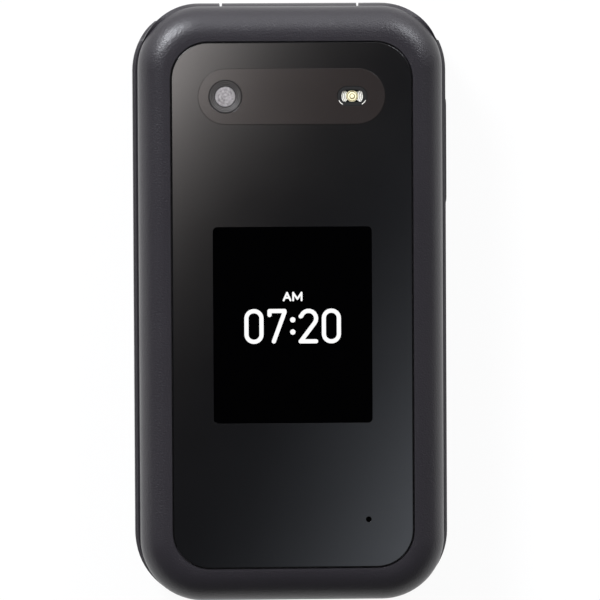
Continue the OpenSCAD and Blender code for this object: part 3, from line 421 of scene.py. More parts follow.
def new_group(name, inputs, outputs):
    group = bpy.data.node_groups.new(name, "ShaderNodeTree")
    for label, kind, default in inputs:
        socket = group.interface.new_socket(label, in_out="INPUT", socket_type=kind)
        socket.default_value = default
    for label, kind in outputs:
        group.interface.new_socket(label, in_out="OUTPUT", socket_type=kind)
    return group, group.nodes.new("NodeGroupInput"), group.nodes.new("NodeGroupOutput")


def sized_noise(group, size, detail, stretch=None):
    """Noise on Object coordinates whose patches have the size that a socket gives."""
    nodes, links = group.nodes, group.links
    place = nodes.new("ShaderNodeTexCoord").outputs["Object"]
    if stretch:
        mapping = nodes.new("ShaderNodeMapping")
        mapping.inputs["Scale"].default_value = stretch
        links.new(place, mapping.inputs["Vector"])
        place = mapping.outputs["Vector"]
    noise = nodes.new("ShaderNodeTexNoise")
    noise.inputs["Detail"].default_value = detail
    links.new(place, noise.inputs["Vector"])
    links.new(math_node(nodes, links, "DIVIDE", 1, size), noise.inputs["Scale"])
    return noise


def moulded_grain_group():
    """Fine spark-eroded texture: height, and a normal made from it."""
    group, given, out = new_group(
        "moulded_grain",
        [("Grain Size", "NodeSocketFloat", 0.0003), ("Depth", "NodeSocketFloat", 0.00002),
         ("Strength", "NodeSocketFloat", 0.5)],
        [("Normal", "NodeSocketVector"), ("Speckle", "NodeSocketFloat")])
    links = group.links
    noise = sized_noise(group, given.outputs["Grain Size"], 2)
    noise.inputs["Roughness"].default_value = 0.55
    bump = group.nodes.new("ShaderNodeBump")
    links.new(given.outputs["Strength"], bump.inputs["Strength"])
    links.new(given.outputs["Depth"], bump.inputs["Distance"])
    links.new(noise.outputs["Fac"], bump.inputs["Height"])
    links.new(bump.outputs["Normal"], out.inputs["Normal"])
    links.new(noise.outputs["Fac"], out.inputs["Speckle"])
    return group


def handling_group():
    """Soft uneven gloss from handling: a roughness between two values."""
    group, given, out = new_group(
        "handling_gloss",
        [("Patch Size", "NodeSocketFloat", 0.02), ("Low", "NodeSocketFloat", 0.3),
         ("High", "NodeSocketFloat", 0.4)],
        [("Roughness", "NodeSocketFloat")])
    links = group.links
    noise = sized_noise(group, given.outputs["Patch Size"], 4)
    remap = group.nodes.new("ShaderNodeMapRange")
    remap.inputs["From Min"].default_value = 0.3
    remap.inputs["From Max"].default_value = 0.7
    links.new(noise.outputs["Fac"], remap.inputs["Value"])
    links.new(given.outputs["Low"], remap.inputs["To Min"])
    links.new(given.outputs["High"], remap.inputs["To Max"])
    links.new(remap.outputs["Result"], out.inputs["Roughness"])
    return group


def tint_group():
    """Slight colour variation inside one moulding."""
    group, given, out = new_group(
        "tint_drift",
        [("Colour", "NodeSocketColor", (0.5, 0.5, 0.5, 1)), ("Drift", "NodeSocketFloat", 0.12),
         ("Patch Size", "NodeSocketFloat", 0.015)],
        [("Colour", "NodeSocketColor")])
    nodes, links = group.nodes, group.links
    noise = sized_noise(group, given.outputs["Patch Size"], 3)
    centred = math_node(nodes, links, "SUBTRACT", noise.outputs["Fac"], 0.5)
    amount = math_node(nodes, links, "MULTIPLY_ADD", centred, given.outputs["Drift"], 1)
    mix = nodes.new("ShaderNodeVectorMath")
    mix.operation = "SCALE"
    links.new(given.outputs["Colour"], mix.inputs[0])
    links.new(amount, mix.inputs["Scale"])
    links.new(mix.outputs["Vector"], out.inputs["Colour"])
    return group


def brushed_group():
    """Fine lines along one direction, for rolled and brushed metal."""
    group, given, out = new_group(
        "brushed_lines",
        [("Line Size", "NodeSocketFloat", 0.0002), ("Low", "NodeSocketFloat", 0.25),
         ("High", "NodeSocketFloat", 0.45), ("Depth", "NodeSocketFloat", 0.000005)],
        [("Roughness", "NodeSocketFloat"), ("Normal", "NodeSocketVector")])
    nodes, links = group.nodes, group.links
    noise = sized_noise(group, given.outputs["Line Size"], 2, stretch=(1, 0.04, 1))
    remap = nodes.new("ShaderNodeMapRange")
    links.new(noise.outputs["Fac"], remap.inputs["Value"])
    links.new(given.outputs["Low"], remap.inputs["To Min"])
    links.new(given.outputs["High"], remap.inputs["To Max"])
    bump = nodes.new("ShaderNodeBump")
    bump.inputs["Strength"].default_value = 0.4
    links.new(given.outputs["Depth"], bump.inputs["Distance"])
    links.new(noise.outputs["Fac"], bump.inputs["Height"])
    links.new(remap.outputs["Result"], out.inputs["Roughness"])
    links.new(bump.outputs["Normal"], out.inputs["Normal"])
    return group


GROUP_MAKERS = {"grain": moulded_grain_group, "handling": handling_group, "tint": tint_group,
                "brushed": brushed_group}
GROUPS = {}


def group(kind):
    if kind not in GROUPS:
        GROUPS[kind] = GROUP_MAKERS[kind]()
    return GROUPS[kind]


# ---------------------------------------------------------------- finishes

def new_material(name):
    material = bpy.data.materials.new(name)
    material.use_nodes = True
    nodes = material.node_tree.nodes
    return material, nodes, material.node_tree.links, nodes["Principled BSDF"]


def add_group(nodes, kind, **values):
    node = nodes.new("ShaderNodeGroup")
    node.node_tree = group(kind)
    for label, value in values.items():
        node.inputs[label.replace("_", " ")].default_value = value
    return node


def colour4(colour):
    return (*tuple(colour)[:3], 1)


def drifting_colour(nodes, links, shader, colour, drift, patch):
    """Base colour that varies slightly; the colour is a value or another node's output."""
    tint = add_group(nodes, "tint", Drift=drift, Patch_Size=patch)
    if isinstance(colour, bpy.types.NodeSocket):
        links.new(colour, tint.inputs["Colour"])
    else:
        tint.inputs["Colour"].default_value = colour4(colour)
    links.new(tint.outputs["Colour"], shader.inputs["Base Color"])


def uneven_gloss(nodes, links, shader, patch, low, high):
    """Roughness that drifts between two values."""
    gloss = add_group(nodes, "handling", Patch_Size=patch, Low=low, High=high)
    links.new(gloss.outputs["Roughness"], shader.inputs["Roughness"])


def fine_grain(nodes, links, shader, size, depth, strength):
    """Moulded texture in the normal."""
    texture = add_group(nodes, "grain", Grain_Size=size, Depth=depth, Strength=strength)
    links.new(texture.outputs["Normal"], shader.inputs["Normal"])


def two_tones(nodes, links, value, low, high):
    """Colour ramp between two stops, each a position and a colour."""
    ramp = nodes.new("ShaderNodeValToRGB")
    for stop, (position, colour) in zip(ramp.color_ramp.elements, (low, high)):
        stop.position = position
        stop.color = colour4(colour)
    links.new(value, ramp.inputs["Fac"])
    return ramp.outputs["Color"]


def plastic(name, colour, rough=(0.36, 0.46), grain=0.0003, depth=0.00001, strength=0.5, drift=0.15,
            patch=0.018, specular=0.5):
    """Moulded plastic: drifting tint, uneven gloss and fine grain."""
    material, nodes, links, shader = new_material(name)
    drifting_colour(nodes, links, shader, colour, drift, patch)
    uneven_gloss(nodes, links, shader, patch * 1.3, *rough)
    fine_grain(nodes, links, shader, grain, depth, strength)
    shader.inputs["Specular IOR Level"].default_value = specular
    return material


def metal(name, colour):
    """Rolled or plated metal with fine lines."""
    material, nodes, links, shader = new_material(name)
    drifting_colour(nodes, links, shader, colour, 0.1, 0.006)
    lines = add_group(nodes, "brushed", Line_Size=0.0002, Low=0.22, High=0.4)
    shader.inputs["Metallic"].default_value = 1
    links.new(lines.outputs["Roughness"], shader.inputs["Roughness"])
    links.new(lines.outputs["Normal"], shader.inputs["Normal"])
    return material


def circuit_material():
    """Solder mask with copper tracks under it and bare pads."""
    material, nodes, links, shader = new_material("solder_mask")
    place = nodes.new("ShaderNodeTexCoord")
    tracks = nodes.new("ShaderNodeTexBrick")
    tracks.inputs["Color1"].default_value = (0.004, 0.07, 0.035, 1)
    tracks.inputs["Color2"].default_value = (0.006, 0.1, 0.05, 1)
    tracks.inputs["Mortar"].default_value = (0.02, 0.2, 0.09, 1)
    tracks.inputs["Scale"].default_value = 420
    tracks.inputs["Mortar Size"].default_value = 0.03
    links.new(place.outputs["Object"], tracks.inputs["Vector"])
    pads = nodes.new("ShaderNodeTexVoronoi")
    pads.inputs["Scale"].default_value = 520
    links.new(place.outputs["Object"], pads.inputs["Vector"])
    bare = math_node(nodes, links, "LESS_THAN", pads.outputs["Distance"], 0.12)
    mix = nodes.new("ShaderNodeMix")
    mix.data_type = "RGBA"
    mix.inputs["B"].default_value = (0.7, 0.52, 0.22, 1)
    links.new(bare, mix.inputs["Factor"])
    links.new(tracks.outputs["Color"], mix.inputs["A"])
    links.new(mix.outputs["Result"], shader.inputs["Base Color"])
    links.new(bare, shader.inputs["Metallic"])
    uneven_gloss(nodes, links, shader, 0.004, 0.25, 0.4)
    return material


def flex_material():
    """Amber polyimide over parallel copper lines."""
    material, nodes, links, shader = new_material("amber_flex")
    place = nodes.new("ShaderNodeTexCoord")
    lines = nodes.new("ShaderNodeTexWave")
    lines.bands_direction = "X"
    lines.inputs["Scale"].default_value = 700
    links.new(place.outputs["Object"], lines.inputs["Vector"])
    amber = two_tones(nodes, links, lines.outputs["Fac"], (0, (0.3, 0.1, 0.015)), (1, (0.55, 0.25, 0.05)))
    links.new(amber, shader.inputs["Base Color"])
    uneven_gloss(nodes, links, shader, 0.003, 0.22, 0.34)
    return material


def battery_material():
    """Grey printed wrap with a darker band at the contact end."""
    material, nodes, links, shader = new_material("battery_wrap")
    place = nodes.new("ShaderNodeTexCoord")
    axes = nodes.new("ShaderNodeSeparateXYZ")
    links.new(place.outputs["Object"], axes.inputs["Vector"])
    band_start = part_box("battery")[1].y - 6 * MM
    mix = nodes.new("ShaderNodeMix")
    mix.data_type = "RGBA"
    mix.inputs["A"].default_value = (0.2, 0.21, 0.24, 1)
    mix.inputs["B"].default_value = (0.03, 0.035, 0.045, 1)
    links.new(math_node(nodes, links, "GREATER_THAN", axes.outputs["Y"], band_start), mix.inputs["Factor"])
    drifting_colour(nodes, links, shader, mix.outputs["Result"], 0.12, 0.01)
    uneven_gloss(nodes, links, shader, 0.008, 0.28, 0.42)
    fine_grain(nodes, links, shader, 0.0012, 0.00002, 0.3)
    return material


def glass_black(name, colour, rough=(0.07, 0.1)):
    """Glossy clear cover over a dark print, with faint wipe marks in the gloss."""
    material, nodes, links, shader = new_material(name)
    drifting_colour(nodes, links, shader, colour, 0.2, 0.03)
    uneven_gloss(nodes, links, shader, 0.02, *rough)
    return material


def lit_material(name, colour):
    """Lit pixels: a fine pixel grid in a glowing colour."""
    material, nodes, links, shader = new_material(name)
    place = nodes.new("ShaderNodeTexCoord")
    pixels = nodes.new("ShaderNodeTexVoronoi")
    pixels.inputs["Scale"].default_value = 9000
    pixels.inputs["Randomness"].default_value = 0
    links.new(place.outputs["Object"], pixels.inputs["Vector"])
    remap = nodes.new("ShaderNodeMapRange")
    remap.inputs["From Max"].default_value = 0.8
    remap.inputs["To Min"].default_value = 1.0
    remap.inputs["To Max"].default_value = 0.94
    links.new(pixels.outputs["Distance"], remap.inputs["Value"])
    glow = nodes.new("ShaderNodeVectorMath")
    glow.operation = "SCALE"
    glow.inputs[0].default_value = colour
    links.new(remap.outputs["Result"], glow.inputs["Scale"])
    links.new(glow.outputs["Vector"], shader.inputs["Emission Color"])
    shader.inputs["Emission Strength"].default_value = 1
    shader.inputs["Base Color"].default_value = (0.02, 0.02, 0.02, 1)
    shader.inputs["Roughness"].default_value = 0.6
    shader.inputs["Specular IOR Level"].default_value = 0
    return material


def ring_lines(nodes, links, centre, spacing):
    """Concentric lines round an upright axis, from 0 to 1, and the place they are drawn on."""
    place = nodes.new("ShaderNodeTexCoord")
    shift = nodes.new("ShaderNodeMapping")
    shift.vector_type = "TEXTURE"
    shift.inputs["Location"].default_value = (centre.x, centre.y, centre.z)
    links.new(place.outputs["Object"], shift.inputs["Vector"])
    rings = nodes.new("ShaderNodeTexWave")
    rings.wave_type = "RINGS"
    rings.rings_direction = "Z"
    rings.inputs["Scale"].default_value = pi / (10 * spacing)
    links.new(shift.outputs["Vector"], rings.inputs["Vector"])
    return rings.outputs["Fac"], shift.outputs["Vector"]


def lens_material():
    """The camera's front glass: pale coating with mottled rings."""
    material, nodes, links, shader = new_material("lens_grey")
    lines, place = ring_lines(nodes, links, LENS_MID, 0.62 * MM)
    mottle = nodes.new("ShaderNodeTexNoise")
    mottle.inputs["Scale"].default_value = 2600
    mottle.inputs["Detail"].default_value = 3
    links.new(place, mottle.inputs["Vector"])
    blend = math_node(nodes, links, "MULTIPLY_ADD", lines, 0.16, mottle.outputs["Fac"])
    coating = two_tones(nodes, links, blend, (0.35, (0.15, 0.14, 0.14)), (0.95, (0.41, 0.385, 0.385)))
    links.new(coating, shader.inputs["Base Color"])
    uneven_gloss(nodes, links, shader, 0.001, 0.16, 0.28)
    return material


def phosphor_material():
    """The flash's light: yellow phosphor under a moulded lens with rings."""
    material, nodes, links, shader = new_material("led_phosphor")
    lines, _ = ring_lines(nodes, links, FLASH_MID, 0.42 * MM)
    yellow = two_tones(nodes, links, lines, (0.15, (0.2, 0.15, 0.06)), (0.5, (0.95, 0.9, 0.6)))
    drifting_colour(nodes, links, shader, yellow, 0.2, 0.0006)
    uneven_gloss(nodes, links, shader, 0.0008, 0.2, 0.32)
    return material


def screen_black():
    """An unlit pixel field, too dark to mirror the room."""
    material, nodes, links, shader = new_material("screen_field")
    drifting_colour(nodes, links, shader, (0.0004, 0.0004, 0.0005), 0.3, 0.004)
    uneven_gloss(nodes, links, shader, 0.01, 0.5, 0.6)
    shader.inputs["Specular IOR Level"].default_value = 0
    return material


MATERIAL_MAKERS = {
    "shell": lambda: plastic("satin_shell", finish().shell_colour, rough=(0.31, 0.37),
                             grain=finish().shell_grain, depth=0.00006, strength=1.0, specular=0.42),
    "rocker": lambda: plastic("rocker_satin", finish().shell_colour, rough=(0.3, 0.38), depth=0.000006),
    "inner": lambda: plastic("inner_matt", (0.02, 0.02, 0.021), rough=(0.5, 0.62)),
    "key": lambda: plastic("key_satin", finish().key_colour, rough=(0.3, 0.4), depth=0.000004,
                           patch=0.006),
    "silicone": lambda: plastic("silicone_mat", (0.28, 0.28, 0.29), rough=(0.5, 0.65), drift=0.2),
    "rubber": lambda: plastic("bumper_rubber", (0.012, 0.012, 0.012), rough=(0.7, 0.85), grain=0.0002),
    "window": lambda: glass_black("window_gloss", finish().window_colour),
    "island": lambda: glass_black("camera_window_gloss", finish().island_colour),
    # The ridges are coloured several times lighter than the cone of the same moulding: a painted highlight
    # along each ridge.
    "ring": lambda: plastic("camera_ring_ridge_painted_highlight", (0.085, 0.077, 0.073), rough=(0.42, 0.55),
                            grain=0.00015, depth=0.000004),
    "cone": lambda: plastic("camera_ring_cone", (0.014, 0.0125, 0.012), rough=(0.42, 0.55),
                            grain=0.00015, depth=0.000004),
    "pupil": lens_material,
    "steel": lambda: metal("rolled_steel", (0.62, 0.62, 0.63)),
    "gold": lambda: metal("contact_gold", (0.75, 0.53, 0.2)),
    "phosphor": phosphor_material,
    # White of the flash's reflector steps, also the colour of the painted highlights at the surround's ends.
    "reflector": lambda: plastic("reflector_white_and_painted_highlight", (0.9, 0.88, 0.8), rough=(0.25, 0.35), grain=0.0002,
                                 depth=0.000002, drift=0.1, patch=0.001, specular=1.0),
    "circuit": circuit_material,
    "flex": flex_material,
    "battery": battery_material,
    "screen": screen_black,
    "inner_screen": lambda: glass_black("inner_screen_gloss", (0.004, 0.0045, 0.006), rough=(0.12, 0.2)),
    "clock": lambda: lit_material("clock_white", (1, 1, 1)),
    "print": lambda: plastic("key_print", finish().legend_colour, rough=(0.5, 0.6), drift=0.1,
                             patch=0.002),
    "green": lambda: plastic("call_green", (0.03, 0.42, 0.09), rough=(0.45, 0.55), patch=0.002),
    "red": lambda: plastic("end_red", (0.55, 0.03, 0.03), rough=(0.45, 0.55), patch=0.002),
    # Near-black: painted shade filling the microphone ports; the flash's surround and dish use it too.
    "dark": lambda: plastic("port_painted_shade_and_flash_black", (0.003, 0.003, 0.003), rough=(0.8, 0.9)),
}
MATERIALS = {}


def material(kind):
    if kind not in MATERIALS:
        MATERIALS[kind] = MATERIAL_MAKERS[kind]()
    return MATERIALS[kind]


SLOT_FINISH = {
    "shell_plastic": "shell", "rocker_plastic": "rocker", "inner_plastic": "inner",
    "key_plastic": "key", "silicone": "silicone", "bumper_rubber": "rubber",
    "window_glass": "window", "lens_glass": "pupil", "led": "phosphor", "screen": "screen",
    "circuit_board": "circuit", "flex": "flex", "contact_gold": "gold", "steel": "steel",
    "battery_wrap": "battery",
}
# The microphones take the near-black finish as painted shade in their ports.
NODE_FINISH = {"camera_window": "island", "camera_ring": "ring", "main_display_window": "window",
               "lid_microphone": "dark", "base_microphone": "dark"}


# ---------------------------------------------------------------- geometry node trees

class Tree:
    """A geometry node tree being built: named inputs, nodes and links."""

    def __init__(self, name, inputs):
        self.tree = bpy.data.node_groups.new(name, "GeometryNodeTree")
        self.identifiers = {}
        for label, kind, default in inputs:
            socket = self.tree.interface.new_socket(label, in_out="INPUT", socket_type=kind)
            if default is not None:
                socket.default_value = default
            self.identifiers[label] = socket.identifier
        self.tree.interface.new_socket("Geometry", in_out="OUTPUT", socket_type="NodeSocketGeometry")
        self.given = self.tree.nodes.new("NodeGroupInput")
        self.out = self.tree.nodes.new("NodeGroupOutput")

    def add(self, kind, **settings):
        node = self.tree.nodes.new(kind)
        for key, value in settings.items():
            setattr(node, key, value)
        return node

    def link(self, a, b):
        self.tree.links.new(a, b)

    def value(self, label):
        return self.given.outputs[label]

    def math(self, operation, *values):
        return math_node(self.tree.nodes, self.tree.links, operation, *values)

    def vector(self, x=0.0, y=0.0, z=0.0):
        node = self.add("ShaderNodeCombineXYZ")
        for i, given in enumerate((x, y, z)):
            if isinstance(given, (int, float)):
                node.inputs[i].default_value = given
            else:
                self.link(given, node.inputs[i])
        return node.outputs[0]

    def close(self, geometry):
        """Realize Instances and Set Material end every tree."""
        real = self.add("GeometryNodeRealizeInstances")
        paint = self.add("GeometryNodeSetMaterial")
        self.link(geometry, real.inputs["Geometry"])
        self.link(real.outputs["Geometry"], paint.inputs["Geometry"])
        self.link(self.value("Material"), paint.inputs["Material"])
        self.link(paint.outputs["Geometry"], self.out.inputs["Geometry"])
        return self


def grown(name, tree, values, body, smooth_angle=35):
    """Runs a tree once with its inputs and keeps the result as a plain mesh."""
    holder = bpy.data.objects.new(name + "_holder", bpy.data.meshes.new(name + "_holder"))
    bpy.context.scene.collection.objects.link(holder)
    modifier = holder.modifiers.new("nodes", "NODES")
    modifier.node_group = tree.tree
    for label, value in values.items():
        modifier[tree.identifiers[label]] = value
    bpy.context.view_layer.update()
    made = holder.evaluated_get(bpy.context.evaluated_depsgraph_get())
    mesh = bpy.data.meshes.new_from_object(made)
    mesh.name = name
    if not mesh.polygons:
        raise RuntimeError(f"{name}: the node tree made no faces")
    holder.modifiers.clear()
    empty = holder.data
    bpy.data.objects.remove(holder)
    bpy.data.meshes.remove(empty)
    if not mesh.materials:
        mesh.materials.append(values["Material"])
    mesh.shade_smooth()
    mesh.set_sharp_from_angle(angle=radians(smooth_angle))
    thing = bpy.data.objects.new(name, mesh)
    bpy.context.scene.collection.objects.link(thing)
    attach(thing, body)
    return thing


# Rings up a key's rolled edge, and the crown's rings as a share drawn in and a share of its rise
ROLL_STEPS = 4
CROWN_STEPS = ((0.16, 0.42), (0.34, 0.7), (0.56, 0.88), (0.8, 0.97))


def key_cap_tree():
    """A key cap: a round-cornered block with a rolled edge and a crowned top."""
    t = Tree("key_cap", [
        ("Width", "NodeSocketFloat", 0.0146), ("Length", "NodeSocketFloat", 0.0114),
        ("Corner", "NodeSocketFloat", 0.002), ("Bottom", "NodeSocketFloat", 0.008),
        ("Top", "NodeSocketFloat", 0.0102), ("Edge", "NodeSocketFloat", 0.00035),
        ("Crown", "NodeSocketFloat", 0.0002), ("Centre", "NodeSocketVector", (0, 0, 0)),
        ("Material", "NodeSocketMaterial", None)])
    outline = t.add("GeometryNodeCurvePrimitiveQuadrilateral")
    t.link(t.value("Width"), outline.inputs["Width"])
    t.link(t.value("Length"), outline.inputs["Height"])
    fillet = t.add("GeometryNodeFilletCurve")
    fillet.mode = "POLY"
    fillet.inputs["Count"].default_value = 8
    t.link(outline.outputs["Curve"], fillet.inputs["Curve"])
    t.link(t.value("Corner"), fillet.inputs["Radius"])
    fill = t.add("GeometryNodeFillCurve")
    fill.mode = "NGONS"
    t.link(fillet.outputs["Curve"], fill.inputs["Curve"])
    underside = t.add("GeometryNodeFlipFaces")
    t.link(fill.outputs["Mesh"], underside.inputs["Mesh"])
    height = t.math("SUBTRACT", t.value("Top"), t.value("Bottom"))
    wall = t.math("SUBTRACT", t.math("SUBTRACT", height, t.value("Edge")), t.value("Crown"))
    short = t.math("MINIMUM", t.value("Width"), t.value("Length"))
    solid = t.add("GeometryNodeExtrudeMesh")
    solid.inputs["Individual"].default_value = False
    t.link(fill.outputs["Mesh"], solid.inputs["Mesh"])
    t.link(t.vector(0, 0, 1), solid.inputs["Offset"])
    t.link(wall, solid.inputs["Offset Scale"])
    mesh, top = solid.outputs["Mesh"], solid.outputs["Top"]

    def drawn_in(inset):
        """Size of the top face, as a share of the outline, once its edge is this far in."""
        lost = t.math("MULTIPLY", t.value("Edge"), 2 * inset)
        return t.math("SUBTRACT", 1.0, t.math("DIVIDE", lost, short))

    before_in, before_up = 0.0, 0.0
    for k in range(1, ROLL_STEPS + 1):
        inset, up = 1 - cos(pi / 2 * k / ROLL_STEPS), sin(pi / 2 * k / ROLL_STEPS)
        step_up = t.math("MULTIPLY", t.value("Edge"), up - before_up)
        scale = t.math("DIVIDE", drawn_in(inset), drawn_in(before_in))
        mesh, top = extrude_ring(t, mesh, top, step_up, scale)
        before_in, before_up = inset, up
    before_scale, before_up = 1.0, 0.0
    for inset, up in CROWN_STEPS:
        scale = 1 - inset
        step_up = t.math("MULTIPLY", t.value("Crown"), up - before_up)
        mesh, top = extrude_ring(t, mesh, top, step_up, scale / before_scale)
        before_scale, before_up = scale, up
    both = t.add("GeometryNodeJoinGeometry")
    t.link(mesh, both.inputs["Geometry"])
    t.link(underside.outputs["Mesh"], both.inputs["Geometry"])
    weld = t.add("GeometryNodeMergeByDistance")
    weld.inputs["Distance"].default_value = SAME_POINT
    t.link(both.outputs["Geometry"], weld.inputs["Geometry"])
    move = t.add("GeometryNodeSetPosition")
    t.link(weld.outputs["Geometry"], move.inputs["Geometry"])
    lift = t.vector(0, 0, t.value("Bottom"))
    place = t.add("ShaderNodeVectorMath", operation="ADD")
    t.link(t.value("Centre"), place.inputs[0])
    t.link(lift, place.inputs[1])
    t.link(place.outputs["Vector"], move.inputs["Offset"])
    return t.close(move.outputs["Geometry"])


def extrude_ring(t, mesh, top, up, scale):
    """Raises the top face by a step and draws it in."""
    step = t.add("GeometryNodeExtrudeMesh")
    step.inputs["Individual"].default_value = False
    t.link(mesh, step.inputs["Mesh"])
    t.link(top, step.inputs["Selection"])
    t.link(t.vector(0, 0, 1), step.inputs["Offset"])
    t.link(up, step.inputs["Offset Scale"])
    draw = t.add("GeometryNodeScaleElements")
    t.link(step.outputs["Mesh"], draw.inputs["Geometry"])
    t.link(step.outputs["Top"], draw.inputs["Selection"])
    if isinstance(scale, (int, float)):
        draw.inputs["Scale"].default_value = scale
    else:
        t.link(scale, draw.inputs["Scale"])
    return draw.outputs["Geometry"], step.outputs["Top"]


def ridge_tree():
    """Concentric ridges, whole or as an arc: rings of wire of growing radius."""
    t = Tree("concentric_ridges", [
        ("Count", "NodeSocketInt", 4), ("First Radius", "NodeSocketFloat", 0.002),
        ("Step", "NodeSocketFloat", 0.00025), ("Rise", "NodeSocketFloat", 0.0),
        ("Wire", "NodeSocketFloat", 0.00005), ("Start Angle", "NodeSocketFloat", 0.0),
        ("Sweep", "NodeSocketFloat", 2 * pi), ("Centre", "NodeSocketVector", (0, 0, 0)),
        ("Material", "NodeSocketMaterial", None)])
    points = t.add("GeometryNodeMeshLine")
    t.link(t.value("Count"), points.inputs["Count"])
    points.inputs["Offset"].default_value = (0, 0, 0)
    index = t.add("GeometryNodeInputIndex").outputs["Index"]
    arc = t.add("GeometryNodeCurveArc")
    arc.inputs["Resolution"].default_value = 72
    arc.inputs["Radius"].default_value = 1
    t.link(t.value("Start Angle"), arc.inputs["Start Angle"])
    t.link(t.value("Sweep"), arc.inputs["Sweep Angle"])
    radius = t.math("MULTIPLY_ADD", index, t.value("Step"), t.value("First Radius"))
    put = t.add("GeometryNodeInstanceOnPoints")
    t.link(points.outputs["Mesh"], put.inputs["Points"])
    t.link(arc.outputs["Curve"], put.inputs["Instance"])
    t.link(t.vector(radius, radius, 1), put.inputs["Scale"])
    lift = t.add("GeometryNodeTranslateInstances")
    t.link(put.outputs["Instances"], lift.inputs["Instances"])
    t.link(t.vector(0, 0, t.math("MULTIPLY", index, t.value("Rise"))), lift.inputs["Translation"])
    real = t.add("GeometryNodeRealizeInstances")
    t.link(lift.outputs["Instances"], real.inputs["Geometry"])
    section = t.add("GeometryNodeCurvePrimitiveCircle")
    section.inputs["Resolution"].default_value = 8
    t.link(t.value("Wire"), section.inputs["Radius"])
    even = t.add("GeometryNodeSetCurveRadius")
    even.inputs["Radius"].default_value = 1
    t.link(real.outputs["Geometry"], even.inputs["Curve"])
    tube = t.add("GeometryNodeCurveToMesh")
    tube.inputs["Fill Caps"].default_value = True
    t.link(even.outputs["Curve"], tube.inputs["Curve"])
    t.link(section.outputs["Curve"], tube.inputs["Profile Curve"])
    weld = t.add("GeometryNodeMergeByDistance")
    weld.inputs["Distance"].default_value = SAME_POINT
    t.link(tube.outputs["Mesh"], weld.inputs["Geometry"])
    move = t.add("GeometryNodeSetPosition")
    t.link(weld.outputs["Geometry"], move.inputs["Geometry"])
    t.link(t.value("Centre"), move.inputs["Offset"])
    return t.close(move.outputs["Geometry"])


def wire_mesh_tree():
    """A woven mesh: wires in two directions, one layer on the other."""
    t = Tree("wire_mesh", [
        ("Width", "NodeSocketFloat", 0.01), ("Length", "NodeSocketFloat", 0.002),
        ("Pitch", "NodeSocketFloat", 0.00026), ("Wire", "NodeSocketFloat", 0.00005),
        ("Centre", "NodeSocketVector", (0, 0, 0)), ("Material", "NodeSocketMaterial", None)])
    layers = t.add("GeometryNodeJoinGeometry")
    section = t.add("GeometryNodeCurvePrimitiveCircle")
    section.inputs["Resolution"].default_value = 6
    t.link(t.value("Wire"), section.inputs["Radius"])
    for across, along, layer in (("Width", "Length", 0), ("Length", "Width", 1)):
        count = t.math("FLOOR", t.math("DIVIDE", t.value(across), t.value("Pitch")))
        half_run = t.math("MULTIPLY", t.value(along), 0.5)
        start = t.math("MULTIPLY", t.math("MULTIPLY", count, t.value("Pitch")), -0.5)
        points = t.add("GeometryNodeMeshLine")
        t.link(t.math("ADD", count, 1), points.inputs["Count"])
        wire = t.add("GeometryNodeCurvePrimitiveLine")
        height = t.math("MULTIPLY", t.value("Wire"), 1.6 * layer)
        if layer == 0:
            t.link(t.vector(start, 0, 0), points.inputs["Start Location"])
            t.link(t.vector(t.value("Pitch"), 0, 0), points.inputs["Offset"])
            t.link(t.vector(0, t.math("MULTIPLY", half_run, -1), height), wire.inputs["Start"])
            t.link(t.vector(0, half_run, height), wire.inputs["End"])
        else:
            t.link(t.vector(0, start, 0), points.inputs["Start Location"])
            t.link(t.vector(0, t.value("Pitch"), 0), points.inputs["Offset"])
            t.link(t.vector(t.math("MULTIPLY", half_run, -1), 0, height), wire.inputs["Start"])
            t.link(t.vector(half_run, 0, height), wire.inputs["End"])
        tube = t.add("GeometryNodeCurveToMesh")
        tube.inputs["Fill Caps"].default_value = True
        t.link(wire.outputs["Curve"], tube.inputs["Curve"])
        t.link(section.outputs["Curve"], tube.inputs["Profile Curve"])
        put = t.add("GeometryNodeInstanceOnPoints")
        t.link(points.outputs["Mesh"], put.inputs["Points"])
        t.link(tube.outputs["Mesh"], put.inputs["Instance"])
        real = t.add("GeometryNodeRealizeInstances")
        t.link(put.outputs["Instances"], real.inputs["Geometry"])
        t.link(real.outputs["Geometry"], layers.inputs["Geometry"])
    move = t.add("GeometryNodeSetPosition")
    t.link(layers.outputs["Geometry"], move.inputs["Geometry"])
    t.link(t.value("Centre"), move.inputs["Offset"])
    return t.close(move.outputs["Geometry"])


def strip_row_tree():
    """A row of small flat strips, such as contacts."""
    t = Tree("contact_row", [
        ("Count", "NodeSocketInt", 5), ("Pitch", "NodeSocketFloat", 0.0007),
        ("Strip", "NodeSocketVector", (0.0003, 0.003, 0.0001)),
        ("Centre", "NodeSocketVector", (0, 0, 0)), ("Material", "NodeSocketMaterial", None)])
    points = t.add("GeometryNodeMeshLine")
    t.link(t.value("Count"), points.inputs["Count"])
    t.link(t.vector(t.value("Pitch"), 0, 0), points.inputs["Offset"])
    last = t.math("SUBTRACT", t.value("Count"), 1)
    start = t.math("MULTIPLY", t.math("MULTIPLY", last, t.value("Pitch")), -0.5)
    t.link(t.vector(start, 0, 0), points.inputs["Start Location"])
    strip = t.add("GeometryNodeMeshCube")
    t.link(t.value("Strip"), strip.inputs["Size"])
    put = t.add("GeometryNodeInstanceOnPoints")
    t.link(points.outputs["Mesh"], put.inputs["Points"])
    t.link(strip.outputs["Mesh"], put.inputs["Instance"])
    real = t.add("GeometryNodeRealizeInstances")
    t.link(put.outputs["Instances"], real.inputs["Geometry"])
    move = t.add("GeometryNodeSetPosition")
    t.link(real.outputs["Geometry"], move.inputs["Geometry"])
    t.link(t.value("Centre"), move.inputs["Offset"])
    return t.close(move.outputs["Geometry"])


TREE_MAKERS = {"key_cap": key_cap_tree, "ridges": ridge_tree, "wire_mesh": wire_mesh_tree,
               "contacts": strip_row_tree}
TREES = {}


